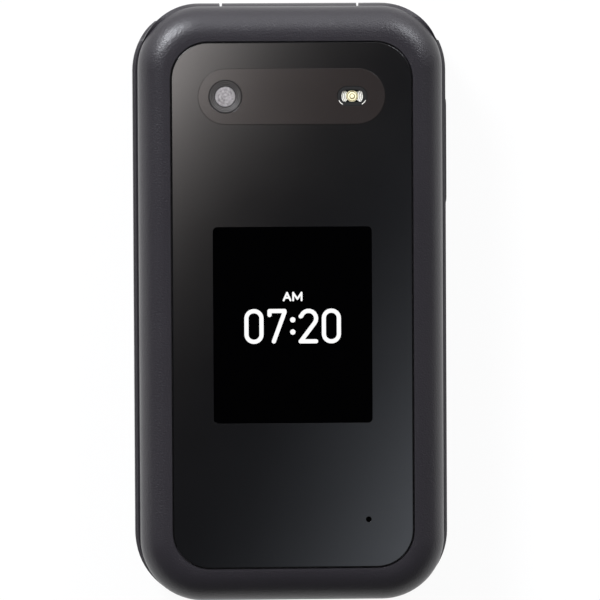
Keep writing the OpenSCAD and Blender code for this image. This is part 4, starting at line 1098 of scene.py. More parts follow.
def tree(kind):
    if kind not in TREES:
        TREES[kind] = TREE_MAKERS[kind]()
    return TREES[kind]


# ---------------------------------------------------------------- operators, one for each piece or group

class PhoneOperator(bpy.types.Operator):
    """Common base: an operator that runs its build()."""
    bl_options = {"REGISTER", "UNDO"}

    def execute(self, context):
        self.build()
        return {"FINISHED"}


# Brightness of the room: overhead, added on the walls, added behind the hinge end
CEILING_LIGHT, WALL_LIGHT, BACK_LIGHT = 0.14, 0.06, 2.0


class PHONE_OT_stage(PhoneOperator):
    """Floor, lamps and camera of the studio"""
    bl_idname = "phone.stage"
    bl_label = "Stage"

    def build(self):
        make_world()
        make_floor()
        make_lamps()
        make_camera()


def make_world():
    """A studio room: dark overhead, brighter walls, brightest behind the hinge end."""
    world = bpy.data.worlds.new("studio")
    bpy.context.scene.world = world
    world.use_nodes = True
    nodes, links = world.node_tree.nodes, world.node_tree.links
    nodes.clear()

    def blend(value, low, high):
        node = nodes.new("ShaderNodeMapRange")
        node.interpolation_type = "SMOOTHSTEP"
        node.inputs["From Min"].default_value = low
        node.inputs["From Max"].default_value = high
        links.new(value, node.inputs["Value"])
        return node.outputs["Result"]

    def math(operation, *values):
        return math_node(nodes, links, operation, *values)

    place = nodes.new("ShaderNodeTexCoord")
    axes = nodes.new("ShaderNodeSeparateXYZ")
    links.new(place.outputs["Generated"], axes.inputs["Vector"])
    wall = blend(axes.outputs["Z"], 0.94, 0.4)
    behind = math("MULTIPLY", wall, blend(axes.outputs["Y"], 0.05, 0.75))
    strength = math("ADD", math("MULTIPLY", wall, WALL_LIGHT), math("MULTIPLY", behind, BACK_LIGHT))
    room = nodes.new("ShaderNodeBackground")
    room.inputs["Color"].default_value = (0.96, 0.97, 1.0, 1)
    links.new(math("ADD", strength, CEILING_LIGHT), room.inputs["Strength"])
    seen = nodes.new("ShaderNodeBackground")
    seen.inputs["Strength"].default_value = 1.0
    path = nodes.new("ShaderNodeLightPath")
    mix = nodes.new("ShaderNodeMixShader")
    links.new(path.outputs["Is Camera Ray"], mix.inputs["Fac"])
    links.new(room.outputs["Background"], mix.inputs[1])
    links.new(seen.outputs["Background"], mix.inputs[2])
    out = nodes.new("ShaderNodeOutputWorld")
    links.new(mix.outputs["Shader"], out.inputs["Surface"])


# How much of the floor's look is plain white where the camera, a gloss or a clear piece sees it
FLOOR_WHITE = 0.93
FLOOR_RADIUS, FLOOR_LOW, FLOOR_HIGH = 6, -0.02, -0.00002


def make_floor():
    """A pale round floor just under the phone."""
    floor_material, nodes, links, shader = new_material("pale_floor")
    drifting_colour(nodes, links, shader, studio().floor_colour, 0.01, 0.2)
    shader.inputs["Roughness"].default_value = 0.9
    shader.inputs["Specular IOR Level"].default_value = 0.0
    glow = nodes.new("ShaderNodeEmission")
    glow.inputs["Strength"].default_value = 1.0
    rays = nodes.new("ShaderNodeLightPath").outputs
    mirrored = math_node(nodes, links, "MAXIMUM", rays["Is Glossy Ray"], rays["Is Transmission Ray"])
    any_of = math_node(nodes, links, "MAXIMUM", rays["Is Camera Ray"], mirrored)
    mix = nodes.new("ShaderNodeMixShader")
    links.new(math_node(nodes, links, "MULTIPLY", any_of, FLOOR_WHITE), mix.inputs["Fac"])
    links.new(shader.outputs["BSDF"], mix.inputs[1])
    links.new(glow.outputs["Emission"], mix.inputs[2])
    links.new(mix.outputs["Shader"], nodes["Material Output"].inputs["Surface"])
    vertices, faces, normals = plate_geometry(circle_outline(FLOOR_RADIUS, steps=64), [],
                                              FLOOR_LOW, FLOOR_HIGH)
    floor = make_object("floor", vertices, faces, floor_material, normals)


def facing(back, right):
    """Turn of a lamp or camera that looks away from back."""
    return Matrix((right, back.cross(right), back)).transposed().to_euler()


def lamp(name, place, size, radiance, colour, target):
    """A soft box given by the brightness of its face, turned to its target."""
    data = bpy.data.lights.new(name, "AREA")
    data.shape = "RECTANGLE"
    data.size, data.size_y = size
    data.energy = radiance * pi * size[0] * size[1]
    data.color = colour
    thing = bpy.data.objects.new(name, data)
    bpy.context.scene.collection.objects.link(thing)
    thing.location = place
    back = (place - target).normalized()
    thing.rotation_euler = facing(back, Vector((0, 0, 1)).cross(back).normalized())
    thing.visible_camera = False


# Two glows on one overhead sheet: point and brightness there, reach along x and y, colour
GLOWS = (((0.0035, 0.053), 6.3, (-0.018, 0.031), (1.0, 0.94, 0.92)),
         ((0.088, -0.105), 1.4, (0.027, -0.058), (0.84, 0.9, 1.0)))
SHEET_X, SHEET_Y, SHEET_Z = (-0.022, 0.127), (-0.18, 0.085), 1.0
GROWTH_LIMIT = 1.5         # a glow grows to this many times its brightness at its point


def make_glow_sheet():
    """A small sheet 1 m up whose light fades between two corners, mirrored softly by the cover window."""
    sheet_material, nodes, links, _ = new_material("glow_sheet")
    nodes.clear()
    place = nodes.new("ShaderNodeTexCoord")
    axes = nodes.new("ShaderNodeSeparateXYZ")
    links.new(place.outputs["Object"], axes.inputs["Vector"])

    def math(operation, *values):
        return math_node(nodes, links, operation, *values)

    both = nodes.new("ShaderNodeVectorMath")
    for number, (point, level, reach, colour) in enumerate(GLOWS):
        along_x = math("MULTIPLY_ADD", axes.outputs["X"], 1 / reach[0], -point[0] / reach[0])
        along_y = math("MULTIPLY_ADD", axes.outputs["Y"], 1 / reach[1], -point[1] / reach[1])
        growth = math("EXPONENT", math("ADD", along_x, along_y))
        tinted = nodes.new("ShaderNodeVectorMath")
        tinted.operation = "SCALE"
        tinted.inputs[0].default_value = colour
        links.new(math("MULTIPLY", math("MINIMUM", growth, GROWTH_LIMIT), level), tinted.inputs["Scale"])
        links.new(tinted.outputs["Vector"], both.inputs[number])
    glow = nodes.new("ShaderNodeEmission")
    links.new(both.outputs["Vector"], glow.inputs["Color"])
    out = nodes.new("ShaderNodeOutputMaterial")
    links.new(glow.outputs["Emission"], out.inputs["Surface"])
    corners = [(SHEET_X[0], SHEET_Y[0], SHEET_Z), (SHEET_X[0], SHEET_Y[1], SHEET_Z),
               (SHEET_X[1], SHEET_Y[1], SHEET_Z), (SHEET_X[1], SHEET_Y[0], SHEET_Z)]
    sheet = make_object("glow_sheet", corners, [(0, 1, 2, 3)], sheet_material)
    sheet.visible_camera = False


# Boxes 1 m behind the hinge end's corners: name, direction in degrees from +X, brightness
CORNER_LAMPS = (("lamp_corner_left", 130, 54.0), ("lamp_corner_right", 50, 19.0))
CORNER_RISE, CORNER_SIZE, CORNER_COLOUR = 35, (0.4, 0.2), (0.93, 0.95, 1.0)
CORNER_TARGET = (0.0, 0.03, 0.015)


def make_lamps():
    """An overhead sheet mirrored by the cover window, and boxes behind the hinge end's corners."""
    make_glow_sheet()
    target = Vector(CORNER_TARGET)
    for name, azimuth, radiance in CORNER_LAMPS:
        a, rise = radians(azimuth), radians(CORNER_RISE)
        place = target + Vector((cos(a) * cos(rise), sin(a) * cos(rise), sin(rise)))
        lamp(name, place, CORNER_SIZE, radiance, CORNER_COLOUR, target)


# The point at the height of the lid's top in the middle of the picture, and the picture's width there
LOOK_AT_X, LOOK_AT_Y = 1.31 * MM, 0.51 * MM
PICTURE_PIXELS, MM_PER_PIXEL = 600, 0.1781
SENSOR_WIDTH = 36


def make_camera():
    """The photo's view: nearly straight down on the lid."""
    s = studio()
    data = bpy.data.cameras.new("camera")
    thing = bpy.data.objects.new("camera", data)
    bpy.context.scene.collection.objects.link(thing)
    bpy.context.scene.camera = thing
    place = Vector((-s.camera_left, s.camera_up, TOP_Z + s.camera_height))
    direction = Vector((LOOK_AT_X, LOOK_AT_Y, TOP_Z)) - place
    back = -direction.normalized()
    level = Vector((0, 1, 0)).cross(back).normalized()
    thing.location = place
    thing.rotation_euler = facing(back, Matrix.Rotation(s.camera_roll, 3, back) @ level)
    data.sensor_fit = "AUTO"
    data.sensor_width = SENSOR_WIDTH
    data.lens = SENSOR_WIDTH * direction.length / (PICTURE_PIXELS * MM_PER_PIXEL * MM)
    data.clip_start, data.clip_end = 0.01, 20


class PHONE_OT_solid_finishes(PhoneOperator):
    """Finishes of the solids that stay as they were built"""
    bl_idname = "phone.solid_finishes"
    bl_label = "Solid finishes"

    def build(self):
        slots = {row["node"]: row["material_slot"] for row in frame["record"]["subparts"]}
        for name, thing in frame["nodes"].items():
            kind = NODE_FINISH.get(name) or SLOT_FINISH[slots[name]]
            finish_for_node = material(kind)
            if not thing.material_slots:
                thing.data.materials.append(finish_for_node)
            for slot in thing.material_slots:
                slot.link = "OBJECT"
                slot.material = finish_for_node


WINDOW_TRIM, WINDOW_CORNER = 0.1 * MM, 6.6 * MM
ISLAND_GAP, SCREEN_GAP = 0.012 * MM, 0.02 * MM
SCREEN_SHOWN_X, SCREEN_SHOWN_Y, SCREEN_CORNER = 28.3 * MM, 35.0 * MM, 0.8 * MM


class PHONE_OT_cover_window(PhoneOperator):
    """Glossy cover window with a rolled edge, its camera opening and the microphone hole"""
    bl_idname = "phone.cover_window"
    bl_label = "Cover window"

    def build(self):
        low, high, mid, size = WINDOW_LOW, WINDOW_HIGH, WINDOW_MID, WINDOW_SIZE
        outer = rounded_outline(size.x - 2 * WINDOW_TRIM, size.y - 2 * WINDOW_TRIM,
                                WINDOW_CORNER - WINDOW_TRIM, (mid.x, mid.y), 24)
        island = rounded_outline(ISLAND_SIZE.x + 2 * ISLAND_GAP, ISLAND_SIZE.y + 2 * ISLAND_GAP, PILL,
                                 (ISLAND_MID.x, ISLAND_MID.y), 20)
        field = screen_outline(SCREEN_GAP)
        port = circle_outline(0.5 * MM, microphone_place(), 32)
        window = plate("cover_window_glass", outer, [island, field, port], low.z, high.z,
                       material("window"), "lid", "window_glass", bevel=sizes().window_bevel,
                       hole_bevel=0.02 * MM)
        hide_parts("cover_window")


def microphone_place():
    _, _, mid, _ = span("lid_microphone")
    return mid.x, mid.y


def screen_outline(grow=0.0):
    """The lit part of the outer screen, as it shows in the window."""
    width, length = SCREEN_SHOWN_X + 2 * grow, SCREEN_SHOWN_Y + 2 * grow
    return rounded_outline(width, length, SCREEN_CORNER + grow, (SCREEN_MID.x, SCREEN_MID.y), 8)


class PHONE_OT_camera(PhoneOperator):
    """Camera window, ring with fine ridges and lens"""
    bl_idname = "phone.camera"
    bl_label = "Camera"

    def build(self):
        ring_hole = circle_outline(RING_SIZE.x / 2 + 0.03 * MM, (RING_MID.x, RING_MID.y), 64)
        flash_hole = rounded_outline(FLASH_SIZE.x + 0.06 * MM, FLASH_SIZE.y + 0.06 * MM, PILL,
                                     (FLASH_MID.x, FLASH_MID.y), 12)
        outer = rounded_outline(ISLAND_SIZE.x, ISLAND_SIZE.y, PILL, (ISLAND_MID.x, ISLAND_MID.y), 24)
        window = plate("camera_window_glass", outer, [ring_hole, flash_hole], ISLAND_LOW.z, ISLAND_HIGH.z,
                       material("island"), "lid", "window_glass", bevel=0.05 * MM)
        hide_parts("camera_window")
        make_camera_ring()
        make_camera_lens()


def make_camera_ring():
    """Ring whose inner slope runs down to the lens, with fine ridges on the slope, coloured lighter than the
    slope as a painted highlight.
    """
    centre = (RING_MID.x, RING_MID.y)
    outer, base, top = RING_SIZE.x / 2, RING_LOW.z, RING_HIGH.z
    inner = LENS_SIZE.x / 2 + 0.05 * MM
    lip = LENS_SIZE.x / 2 - 0.4 * MM
    brow, brow_z = outer - 0.24 * MM, top - 0.02 * MM
    foot_z = base + 0.62 * MM
    profile = [(lip, base), (outer, base), (outer, top - 0.06 * MM), (outer - 0.03 * MM, top - 0.015 * MM),
               (outer - 0.1 * MM, top), (brow, brow_z), (inner, foot_z), (inner, LENS_LOW.z),
               (lip, LENS_LOW.z)]
    ring = turned("camera_ring_cone", profile, centre, material("cone"), "lid")
    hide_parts("camera_ring")
    count = sizes().ring_ridges
    margin = 0.14 * MM
    slope_out, slope_up = brow - inner, brow_z - foot_z
    step = (slope_out - 0.2 * MM) / max(count - 1, 1)
    rise = step * slope_up / slope_out
    start_z = foot_z + margin * slope_up / slope_out
    # Ridges in the lighter finish: painted highlight lines on the slope.
    grown("camera_ring_ridges", tree("ridges"),
          {"Count": count, "First Radius": inner + margin, "Step": step, "Rise": rise, "Wire": 0.06 * MM,
           "Start Angle": 0.0, "Sweep": 2 * pi, "Centre": (centre[0], centre[1], start_z),
           "Material": material("ring")}, "lid")


DOME_STEPS = 8


def make_camera_lens():
    """Front glass with a low dome."""
    centre = (LENS_MID.x, LENS_MID.y)
    radius, base, top = LENS_SIZE.x / 2, LENS_LOW.z, LENS_HIGH.z
    shoulder, dome = radius - 0.14 * MM, top - 0.1 * MM
    profile = [(0, base), (radius, base), (radius, dome - 0.14 * MM), (radius - 0.04 * MM, dome - 0.04 * MM)]
    for k in range(DOME_STEPS + 1):
        r = shoulder * (1 - k / DOME_STEPS)
        profile.append((r, top - (top - dome) * (r / shoulder) ** 2))
    lens = turned("camera_lens_dome", profile, centre, material("pupil"), "lid",
                  smooth_angle=50)
    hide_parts("camera_lens")


class PHONE_OT_flash(PhoneOperator):
    """Flash: black surround, silver reflector steps, the yellow light and painted highlights on the
    surround's ends
    """
    bl_idname = "phone.flash"
    bl_label = "Flash"

    def build(self):
        centre = (FLASH_MID.x, FLASH_MID.y)
        outer = rounded_outline(FLASH_SIZE.x, FLASH_SIZE.y, PILL, centre, 16)
        inner = rounded_outline(4.05 * MM, 2.25 * MM, PILL, centre, 16)
        surround = plate("flash_surround", outer, [inner], FLASH_LOW.z, FLASH_HIGH.z, material("dark"),
                         "lid", "inner_plastic", bevel=0.07 * MM)
        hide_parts("flash_bezel")
        low, _, _, _ = span("flash_led")
        floor_z = FLASH_LOW.z + 0.35 * MM
        dish = plate("flash_dish", rounded_outline(3.95 * MM, 2.15 * MM, PILL, centre, 16), [], low.z,
                     floor_z, material("dark"), "lid", "led", bevel=0.05 * MM)
        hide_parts("flash_led")
        for name, turn in (("flash_steps_right", -38), ("flash_steps_left", 142)):
            grown(name, tree("ridges"),
                  {"Count": 3, "First Radius": 1.24 * MM, "Step": 0.29 * MM, "Rise": 0.09 * MM,
                   "Wire": 0.1 * MM, "Start Angle": radians(turn), "Sweep": radians(76),
                   "Centre": (centre[0], centre[1], floor_z + 0.18 * MM), "Material": material("reflector")},
                  "lid")
        make_flash_light(centre, floor_z)
        # Pale arcs painted on the surround as highlights.
        make_flash_painted_highlights(centre)


def make_flash_light(centre, floor_z):
    """The light itself: a small moulded lens on the dish."""
    rim, foot, face = 1.02 * MM, floor_z - 0.05 * MM, FLASH_LOW.z + 0.72 * MM
    profile = [(0, foot), (rim, foot), (rim, face - 0.08 * MM), (rim - 0.06 * MM, face),
               (rim - 0.2 * MM, face), (rim - 0.26 * MM, face - 0.06 * MM), (0.56 * MM, face - 0.05 * MM),
               (0.5 * MM, face + 0.02 * MM), (0.3 * MM, face + 0.06 * MM), (0, face + 0.08 * MM)]
    turned("flash_light", profile, centre, material("phosphor"), "lid", steps=48)


def make_flash_painted_highlights(centre):
    """Painted highlights: short pale arcs at the surround's two round ends, where its rounded edge would
    catch the light.
    """
    for name, side, start in (("flash_painted_highlight_left", -1, 208), ("flash_painted_highlight_right", 1, 300)):
        middle = (centre[0] + side * (FLASH_SIZE.x / 2 - FLASH_SIZE.y / 2), centre[1])
        arc = arc_points(middle, FLASH_SIZE.y / 2 - 0.1 * MM, start, start + 32, 8)
        flat_object(name, stroke_geometry(arc, 0.11 * MM, FLASH_HIGH.z - 0.05 * MM,
                                          FLASH_HIGH.z + 0.01 * MM),
                    material("reflector"), "lid")


# The clock as a drawing, y down from the top of the digits: width, middle, pens, strokes
CLOCK_WIDTH, CLOCK_MID_X, CLOCK_MID_Y = 97.0, 48.4, 16.25
DIGIT_PEN, LETTER_PEN, COLON_DOT = 4.2, 1.9, 2.7
ZERO_LEFTS, ZERO_SIZE, ZERO_CORNER, DIGIT_TOP = (2.1, 79.5), (15.0, 30.6), 7.3, 2.1
COLON_YS = (11.0, 23.2)
PRINT_THICKNESS = 0.012 * MM
SEVEN = [[(25.2, 2.1), (25.2, 6.0)], [(25.2, 2.1), (40.2, 2.1)], [(40.2, 2.1), (40.2, 3.4), (29.4, 32.5)]]
TWO = [[(56.3, 7.6)] + [(64.2 + 7.6 * cos(radians(a)), 9.7 - 7.6 * sin(radians(a)))
                        for a in range(160, -41, -20)] + [(56.6, 32.2)],
       [(56.2, 32.6), (71.6, 32.6)]]
LETTER_A = [[(39.4, -8.5), (42.8, -16.1)], [(42.8, -16.1), (46.2, -8.5)], [(40.6, -11.1), (45.0, -11.1)]]
LETTER_M = [[(48.9, -8.5), (48.9, -16.1)], [(48.9, -16.1), (53.1, -9.8)], [(53.1, -9.8), (57.3, -16.1)],
            [(57.3, -16.1), (57.3, -8.5)]]


class PHONE_OT_outer_screen(PhoneOperator):
    """Outer screen field with the clock's digits"""
    bl_idname = "phone.outer_screen"
    bl_label = "Outer screen"

    def build(self):
        face = TOP_Z - 0.03 * MM
        plate("outer_screen_field", screen_outline(), [], SCREEN_HIGH.z, face, material("screen"), "lid",
              "screen")
        low, high = face, face + PRINT_THICKNESS
        unit = sizes().clock_width / CLOCK_WIDTH

        def at(px, py):
            """A point of the screen from its place in the drawing."""
            return SCREEN_MID.x + (px - CLOCK_MID_X) * unit, SCREEN_MID.y - (py - CLOCK_MID_Y) * unit

        parts = []
        for left in ZERO_LEFTS:
            zero = [at(*p) for p in zero_points(left, DIGIT_TOP, *ZERO_SIZE, ZERO_CORNER)]
            parts.append(loop_geometry(zero, DIGIT_PEN * unit, low, high))
        for strokes, pen in ((SEVEN + TWO, DIGIT_PEN), (LETTER_A + LETTER_M, LETTER_PEN)):
            for stroke in strokes:
                parts.append(stroke_geometry([at(*p) for p in stroke], pen * unit, low, high))
        for y in COLON_YS:
            dot = circle_outline(COLON_DOT * unit, at(CLOCK_MID_X, y), 24)
            parts.append(plate_geometry(dot, [], low, high))
        flat_object("clock_digits", join_geometry(parts), material("clock"), "lid")


BEND_STEPS = 8


def zero_points(left, top, width, height, radius):
    """Closed middle line of a zero, clockwise on the page."""
    points = []
    corners = ((left + width - radius, top + radius, -90), (left + width - radius, top + height - radius, 0),
               (left + radius, top + height - radius, 90), (left + radius, top + radius, 180))
    for cx, cy, start in corners:
        for i in range(BEND_STEPS + 1):
            a = radians(start + 90 * i / BEND_STEPS)
            points.append((cx + radius * cos(a), cy + radius * sin(a)))
    return points


def loop_geometry(points, width, low, high):
    """A closed pen stroke: a plate between the outline drawn out and drawn in."""
    points = without_doubles(points)
    area = sum(points[i - 1][0] * p[1] - p[0] * points[i - 1][1] for i, p in enumerate(points))
    if area < 0:
        points.reverse()
    out = outline_normals(points)
    outer = [(x + nx * width / 2, y + ny * width / 2) for (x, y), (nx, ny) in zip(points, out)]
    inner = [(x - nx * width / 2, y - ny * width / 2) for (x, y), (nx, ny) in zip(points, out)]
    return plate_geometry(outer, [inner], low, high)


# A key's flange round its cap, the cap's corners and its rolled edge
KEY_FLANGE, KEY_CORNER, KEY_EDGE = 0.35 * MM, 2.0 * MM, 0.35 * MM


class PHONE_OT_keys(PhoneOperator):
    """Crowned key caps"""
    bl_idname = "phone.keys"
    bl_label = "Keys"

    def build(self):
        for name in NUMBER_KEYS + SIDE_KEYS:
            low, high, mid, size = span(name)
            cap = grown(name + "_cap", tree("key_cap"),
                        {"Width": size.x - 2 * KEY_FLANGE, "Length": size.y - 2 * KEY_FLANGE,
                         "Corner": KEY_CORNER, "Bottom": low.z, "Top": high.z, "Edge": KEY_EDGE,
                         "Crown": sizes().key_crown, "Centre": (mid.x, mid.y, 0),
                         "Material": material("key")}, name, smooth_angle=60)
            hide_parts(name)


LEGENDS = {
    "key_1": ("1", ""), "key_2": ("2", "abc"), "key_3": ("3", "def"), "key_4": ("4", "ghi"),
    "key_5": ("5", "jkl"), "key_6": ("6", "mno"), "key_7": ("7", "pqrs"), "key_8": ("8", "tuv"),
    "key_9": ("9", "wxyz"), "key_star": ("*", ""), "key_0": ("0", ""), "key_hash": ("#", ""),
}


class PHONE_OT_key_marks(PhoneOperator):
    """Digits, letters and signs printed on the keys"""
    bl_idname = "phone.key_marks"
    bl_label = "Key marks"

    def build(self):
        for name, (digit, small) in LEGENDS.items():
            mid, low, high = print_layer(name, 0.06 * MM)
            x = mid.x - (2.6 * MM if small else 0)
            parts = [letters_geometry(digit, 6.4 * MM, (x, mid.y), low, high, bold=0.004)]
            if small:
                place = (mid.x + 2.9 * MM, mid.y - 0.4 * MM)
                parts.append(letters_geometry(small, 3.0 * MM, place, low, high))
            flat_object(name + "_mark", join_geometry(parts), material("print"), name)
        for name, kind in (("call_key", "green"), ("end_key", "red")):
            mid, low, high = print_layer(name, 0.05 * MM)
            sign = handset_geometry((mid.x, mid.y), low, high, lying=name == "end_key")
            flat_object(name + "_mark", join_geometry(sign), material(kind), name)
        for name in ("soft_key_left", "soft_key_right"):
            mid, low, high = print_layer(name, 0.05 * MM)
            dash = [(mid.x - 1.6 * MM, mid.y), (mid.x + 1.6 * MM, mid.y)]
            flat_object(name + "_mark", stroke_geometry(dash, 0.7 * MM, low, high), material("print"),
                        name)


def print_layer(node, sunk):
    """Middle of a key, and the underside and top of the print on its crown."""
    _, high, mid, _ = span(node)
    face = high.z - PRINT_THICKNESS
    return mid, face - sunk, face + PRINT_THICKNESS


def handset_geometry(centre, low, high, lying):
    """A plain handset sign: a bowed grip with a block at each end."""
    turn = radians(0 if lying else 128)

    def at(x, y):
        return (centre[0] + x * cos(turn) - y * sin(turn), centre[1] + x * sin(turn) + y * cos(turn))

    grip = [at(2.3 * MM * cos(radians(a)), 2.2 * MM * sin(radians(a)) - 1.1 * MM) for a in range(28, 153, 8)]
    parts = [stroke_geometry(grip, 0.85 * MM, low, high)]
    for side in (1, -1):
        block = [at(side * 2.2 * MM, -0.05 * MM), at(side * 1.75 * MM, -0.75 * MM)]
        parts.append(stroke_geometry(block, 1.2 * MM, low, high))
    return parts


class PHONE_OT_navigation(PhoneOperator):
    """Four-way ring with its arrows, and the centre key"""
    bl_idname = "phone.navigation"
    bl_label = "Navigation ring"

    def build(self):
        low, high, mid, size = span("nav_ring")
        centre = (mid.x, mid.y)
        flange = size.x / 2
        outer, inner = flange - 0.3 * MM, 5.5 * MM
        top = high.z
        profile = [(inner, low.z), (flange, low.z), (flange, low.z + 0.3 * MM), (outer, low.z + 0.3 * MM),
                   (outer, top - 0.5 * MM), (outer - 0.06 * MM, top - 0.3 * MM),
                   (outer - 0.22 * MM, top - 0.12 * MM), (outer - 0.5 * MM, top - 0.02 * MM),
                   (outer - 0.9 * MM, top), (outer - 2.2 * MM, top - 0.05 * MM),
                   (inner + 1.2 * MM, top - 0.16 * MM), (inner + 0.4 * MM, top - 0.2 * MM),
                   (inner + 0.12 * MM, top - 0.26 * MM), (inner, top - 0.4 * MM)]
        ring = turned("nav_ring_dish", profile, centre, material("key"), "nav_ring",
                      steps=128, smooth_angle=50)
        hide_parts("nav_ring")
        marks = []
        reach, face = (outer + inner) / 2 + 0.5 * MM, top - 0.07 * MM
        for turn in (0, 90, 180, 270):
            a = radians(turn)

            def at(x, y):
                return (centre[0] + x * cos(a) - y * sin(a), centre[1] + x * sin(a) + y * cos(a))

            near, far = reach - 0.45 * MM, reach + 0.45 * MM
            arrow = [at(near, 0.9 * MM), at(far, 0), at(near, -0.9 * MM)]
            marks.append(stroke_geometry(arrow, 0.35 * MM, face - 0.1 * MM, face + 0.02 * MM))
        flat_object("nav_ring_marks", join_geometry(marks), material("print"), "nav_ring")
        low, high, mid, size = span("ok_key")
        r, top = size.x / 2, high.z
        profile = [(0, low.z), (r, low.z), (r, top - 0.4 * MM), (r - 0.05 * MM, top - 0.2 * MM),
                   (r - 0.2 * MM, top - 0.06 * MM), (r - 0.45 * MM, top), (r - 1.0 * MM, top - 0.03 * MM),
                   (r - 2.4 * MM, top - 0.12 * MM), (0, top - 0.16 * MM)]
        cap = turned("ok_key_cap", profile, (mid.x, mid.y), material("key"), "ok_key",
                     smooth_angle=50)
        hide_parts("ok_key")


class PHONE_OT_rocker(PhoneOperator):
    """Volume rocker with rolled edges and plus and minus signs"""
    bl_idname = "phone.rocker"
    bl_label = "Volume rocker"

    def build(self):
        low, high, mid, _ = span("volume_rocker")
        face = high.x - 0.03 * MM
        flange_x = low.x + 0.5 * MM
        cap_h, cap_l = 2.8 * MM, 18.8 * MM
        flange = plate_geometry(rounded_outline(cap_l + 2 * MM, cap_h + 0.5 * MM, 1 * MM), [], low.x,
                                flange_x)
        cap = plate_geometry(rounded_outline(cap_l, cap_h, 1.38 * MM, steps=10), [], flange_x - 0.01 * MM,
                             face, bevel=0.22 * MM, steps=4)
        upright = Matrix(((0, 0, 1), (1, 0, 0), (0, 1, 0)))
        shift = Vector((0, mid.y, mid.z))

        def stood_up(parts):
            """The parts joined and turned from lying flat to the phone's right side."""
            vertices, faces, normals = join_geometry(parts)
            return ([upright @ Vector(v) + shift for v in vertices], faces,
                    [upright @ Vector(n) for n in normals])

        vertices, faces, normals = stood_up([flange, cap])
        rocker = make_object("volume_rocker_cap", vertices, faces, material("rocker"), normals,
                             "volume_rocker")
        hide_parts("volume_rocker")
        place, arm = 6.4 * MM, 0.7 * MM
        bars = ([(place - arm, 0), (place + arm, 0)], [(place, -arm), (place, arm)],
                [(-place - arm, 0), (-place + arm, 0)])
        signs = [stroke_geometry(bar, 0.3 * MM, face - 0.05 * MM, high.x) for bar in bars]
        flat_object("volume_rocker_signs", stood_up(signs), material("rocker"), "volume_rocker")


class PHONE_OT_inner_screen(PhoneOperator):
    """Inner screen field, earpiece mesh and rubber bumpers of the lid"""
    bl_idname = "phone.inner_screen"
    bl_label = "Inner screen"

    def build(self):
        low, high, mid, size = span("main_display_window")
        glass = plate("inner_window_glass", rounded_outline(size.x, size.y, 1.9 * MM, (mid.x, mid.y), 10), [],
                      low.z, high.z, material("window"), "lid", "window_glass", under_bevel=0.12 * MM)
        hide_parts("main_display_window")
        field = rounded_outline(size.x - 5.5 * MM, size.y - 11 * MM, 0.5 * MM, (mid.x, mid.y), 6)
        plate("inner_screen_field", field, [], low.z - 0.012 * MM, low.z + 0.02 * MM,
              material("inner_screen"), "lid", "screen")
        e_low, _, e_mid, _ = span("earpiece")
        grown("earpiece_mesh", tree("wire_mesh"),
              {"Width": 10.6 * MM, "Length": 1.5 * MM, "Pitch": sizes().mesh_pitch, "Wire": 0.045 * MM,
               "Centre": (e_mid.x, e_mid.y, e_low.z - 0.2 * MM), "Material": material("steel")},
              "lid")
        make_bumpers()


def make_bumpers():
    """Soft-edged pads in place of the lid's bumpers."""
    low, high, _, _ = span("lid_bumpers")
    r = 1.6 * MM
    parts = []
    for x, y in component_centres("lid_bumpers"):
        profile = [(0, low.z), (r - 0.35 * MM, low.z), (r - 0.12 * MM, low.z + 0.06 * MM),
                   (r, low.z + 0.2 * MM), (r, high.z), (0, high.z)]
        parts.append(turned_geometry(profile, (x, y), 48))
    vertices, faces, _ = join_geometry(parts)
    pads = make_object("lid_bumper_pads", vertices, faces, material("rubber"), None, "lid")
    pads.data.set_sharp_from_angle(angle=radians(40))
    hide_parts("lid_bumpers")


def turned_geometry(profile, centre, steps):
    """Vertices and outward faces, without normals, of a profile from the axis up and back to it."""
    vertices, rings, faces = [], [], []
    for r, z in profile:
        ring = []
        for i in range(1 if r < ON_AXIS else steps):
            a = 2 * pi * i / steps
            ring.append(len(vertices))
            vertices.append((centre[0] + r * cos(a), centre[1] + r * sin(a), z))
        rings.append(ring)
    for a, b in zip(rings, rings[1:]):
        for i in range(steps):
            j = (i + 1) % steps
            if len(a) == 1:
                faces.append((a[0], b[j], b[i]))
            elif len(b) == 1:
                faces.append((a[i], a[j], b[0]))
            else:
                faces.append((a[i], a[j], b[j], b[i]))
    return vertices, faces, []


def component_centres(node):
    """Middle of each separate solid in a node, seen from above."""
    mesh = frame["nodes"][node].data
    copy = bmesh.new()
    copy.from_mesh(mesh)
    bmesh.ops.remove_doubles(copy, verts=copy.verts, dist=SAME_CORNER)
    left = set(copy.verts)
    centres = []
    while left:
        stack, found = [left.pop()], []
        while stack:
            v = stack.pop()
            found.append(v)
            for edge in v.link_edges:
                other = edge.other_vert(v)
                if other in left:
                    left.remove(other)
                    stack.append(other)
        xs, ys = [v.co.x for v in found], [v.co.y for v in found]
        centres.append(((min(xs) + max(xs)) / 2, (min(ys) + max(ys)) / 2))
    copy.free()
    return sorted(centres)


class PHONE_OT_speaker_mesh(PhoneOperator):
    """Wire mesh behind the loudspeaker's holes"""
    bl_idname = "phone.speaker_mesh"
    bl_label = "Speaker mesh"

    def build(self):
        low, _, mid, _ = span("loudspeaker")
        grown("speaker_mesh", tree("wire_mesh"),
              {"Width": 9.2 * MM, "Length": 5.4 * MM, "Pitch": sizes().mesh_pitch, "Wire": 0.04 * MM,
               "Centre": (mid.x, mid.y, low.z - 0.12 * MM), "Material": material("steel")},
              "base")


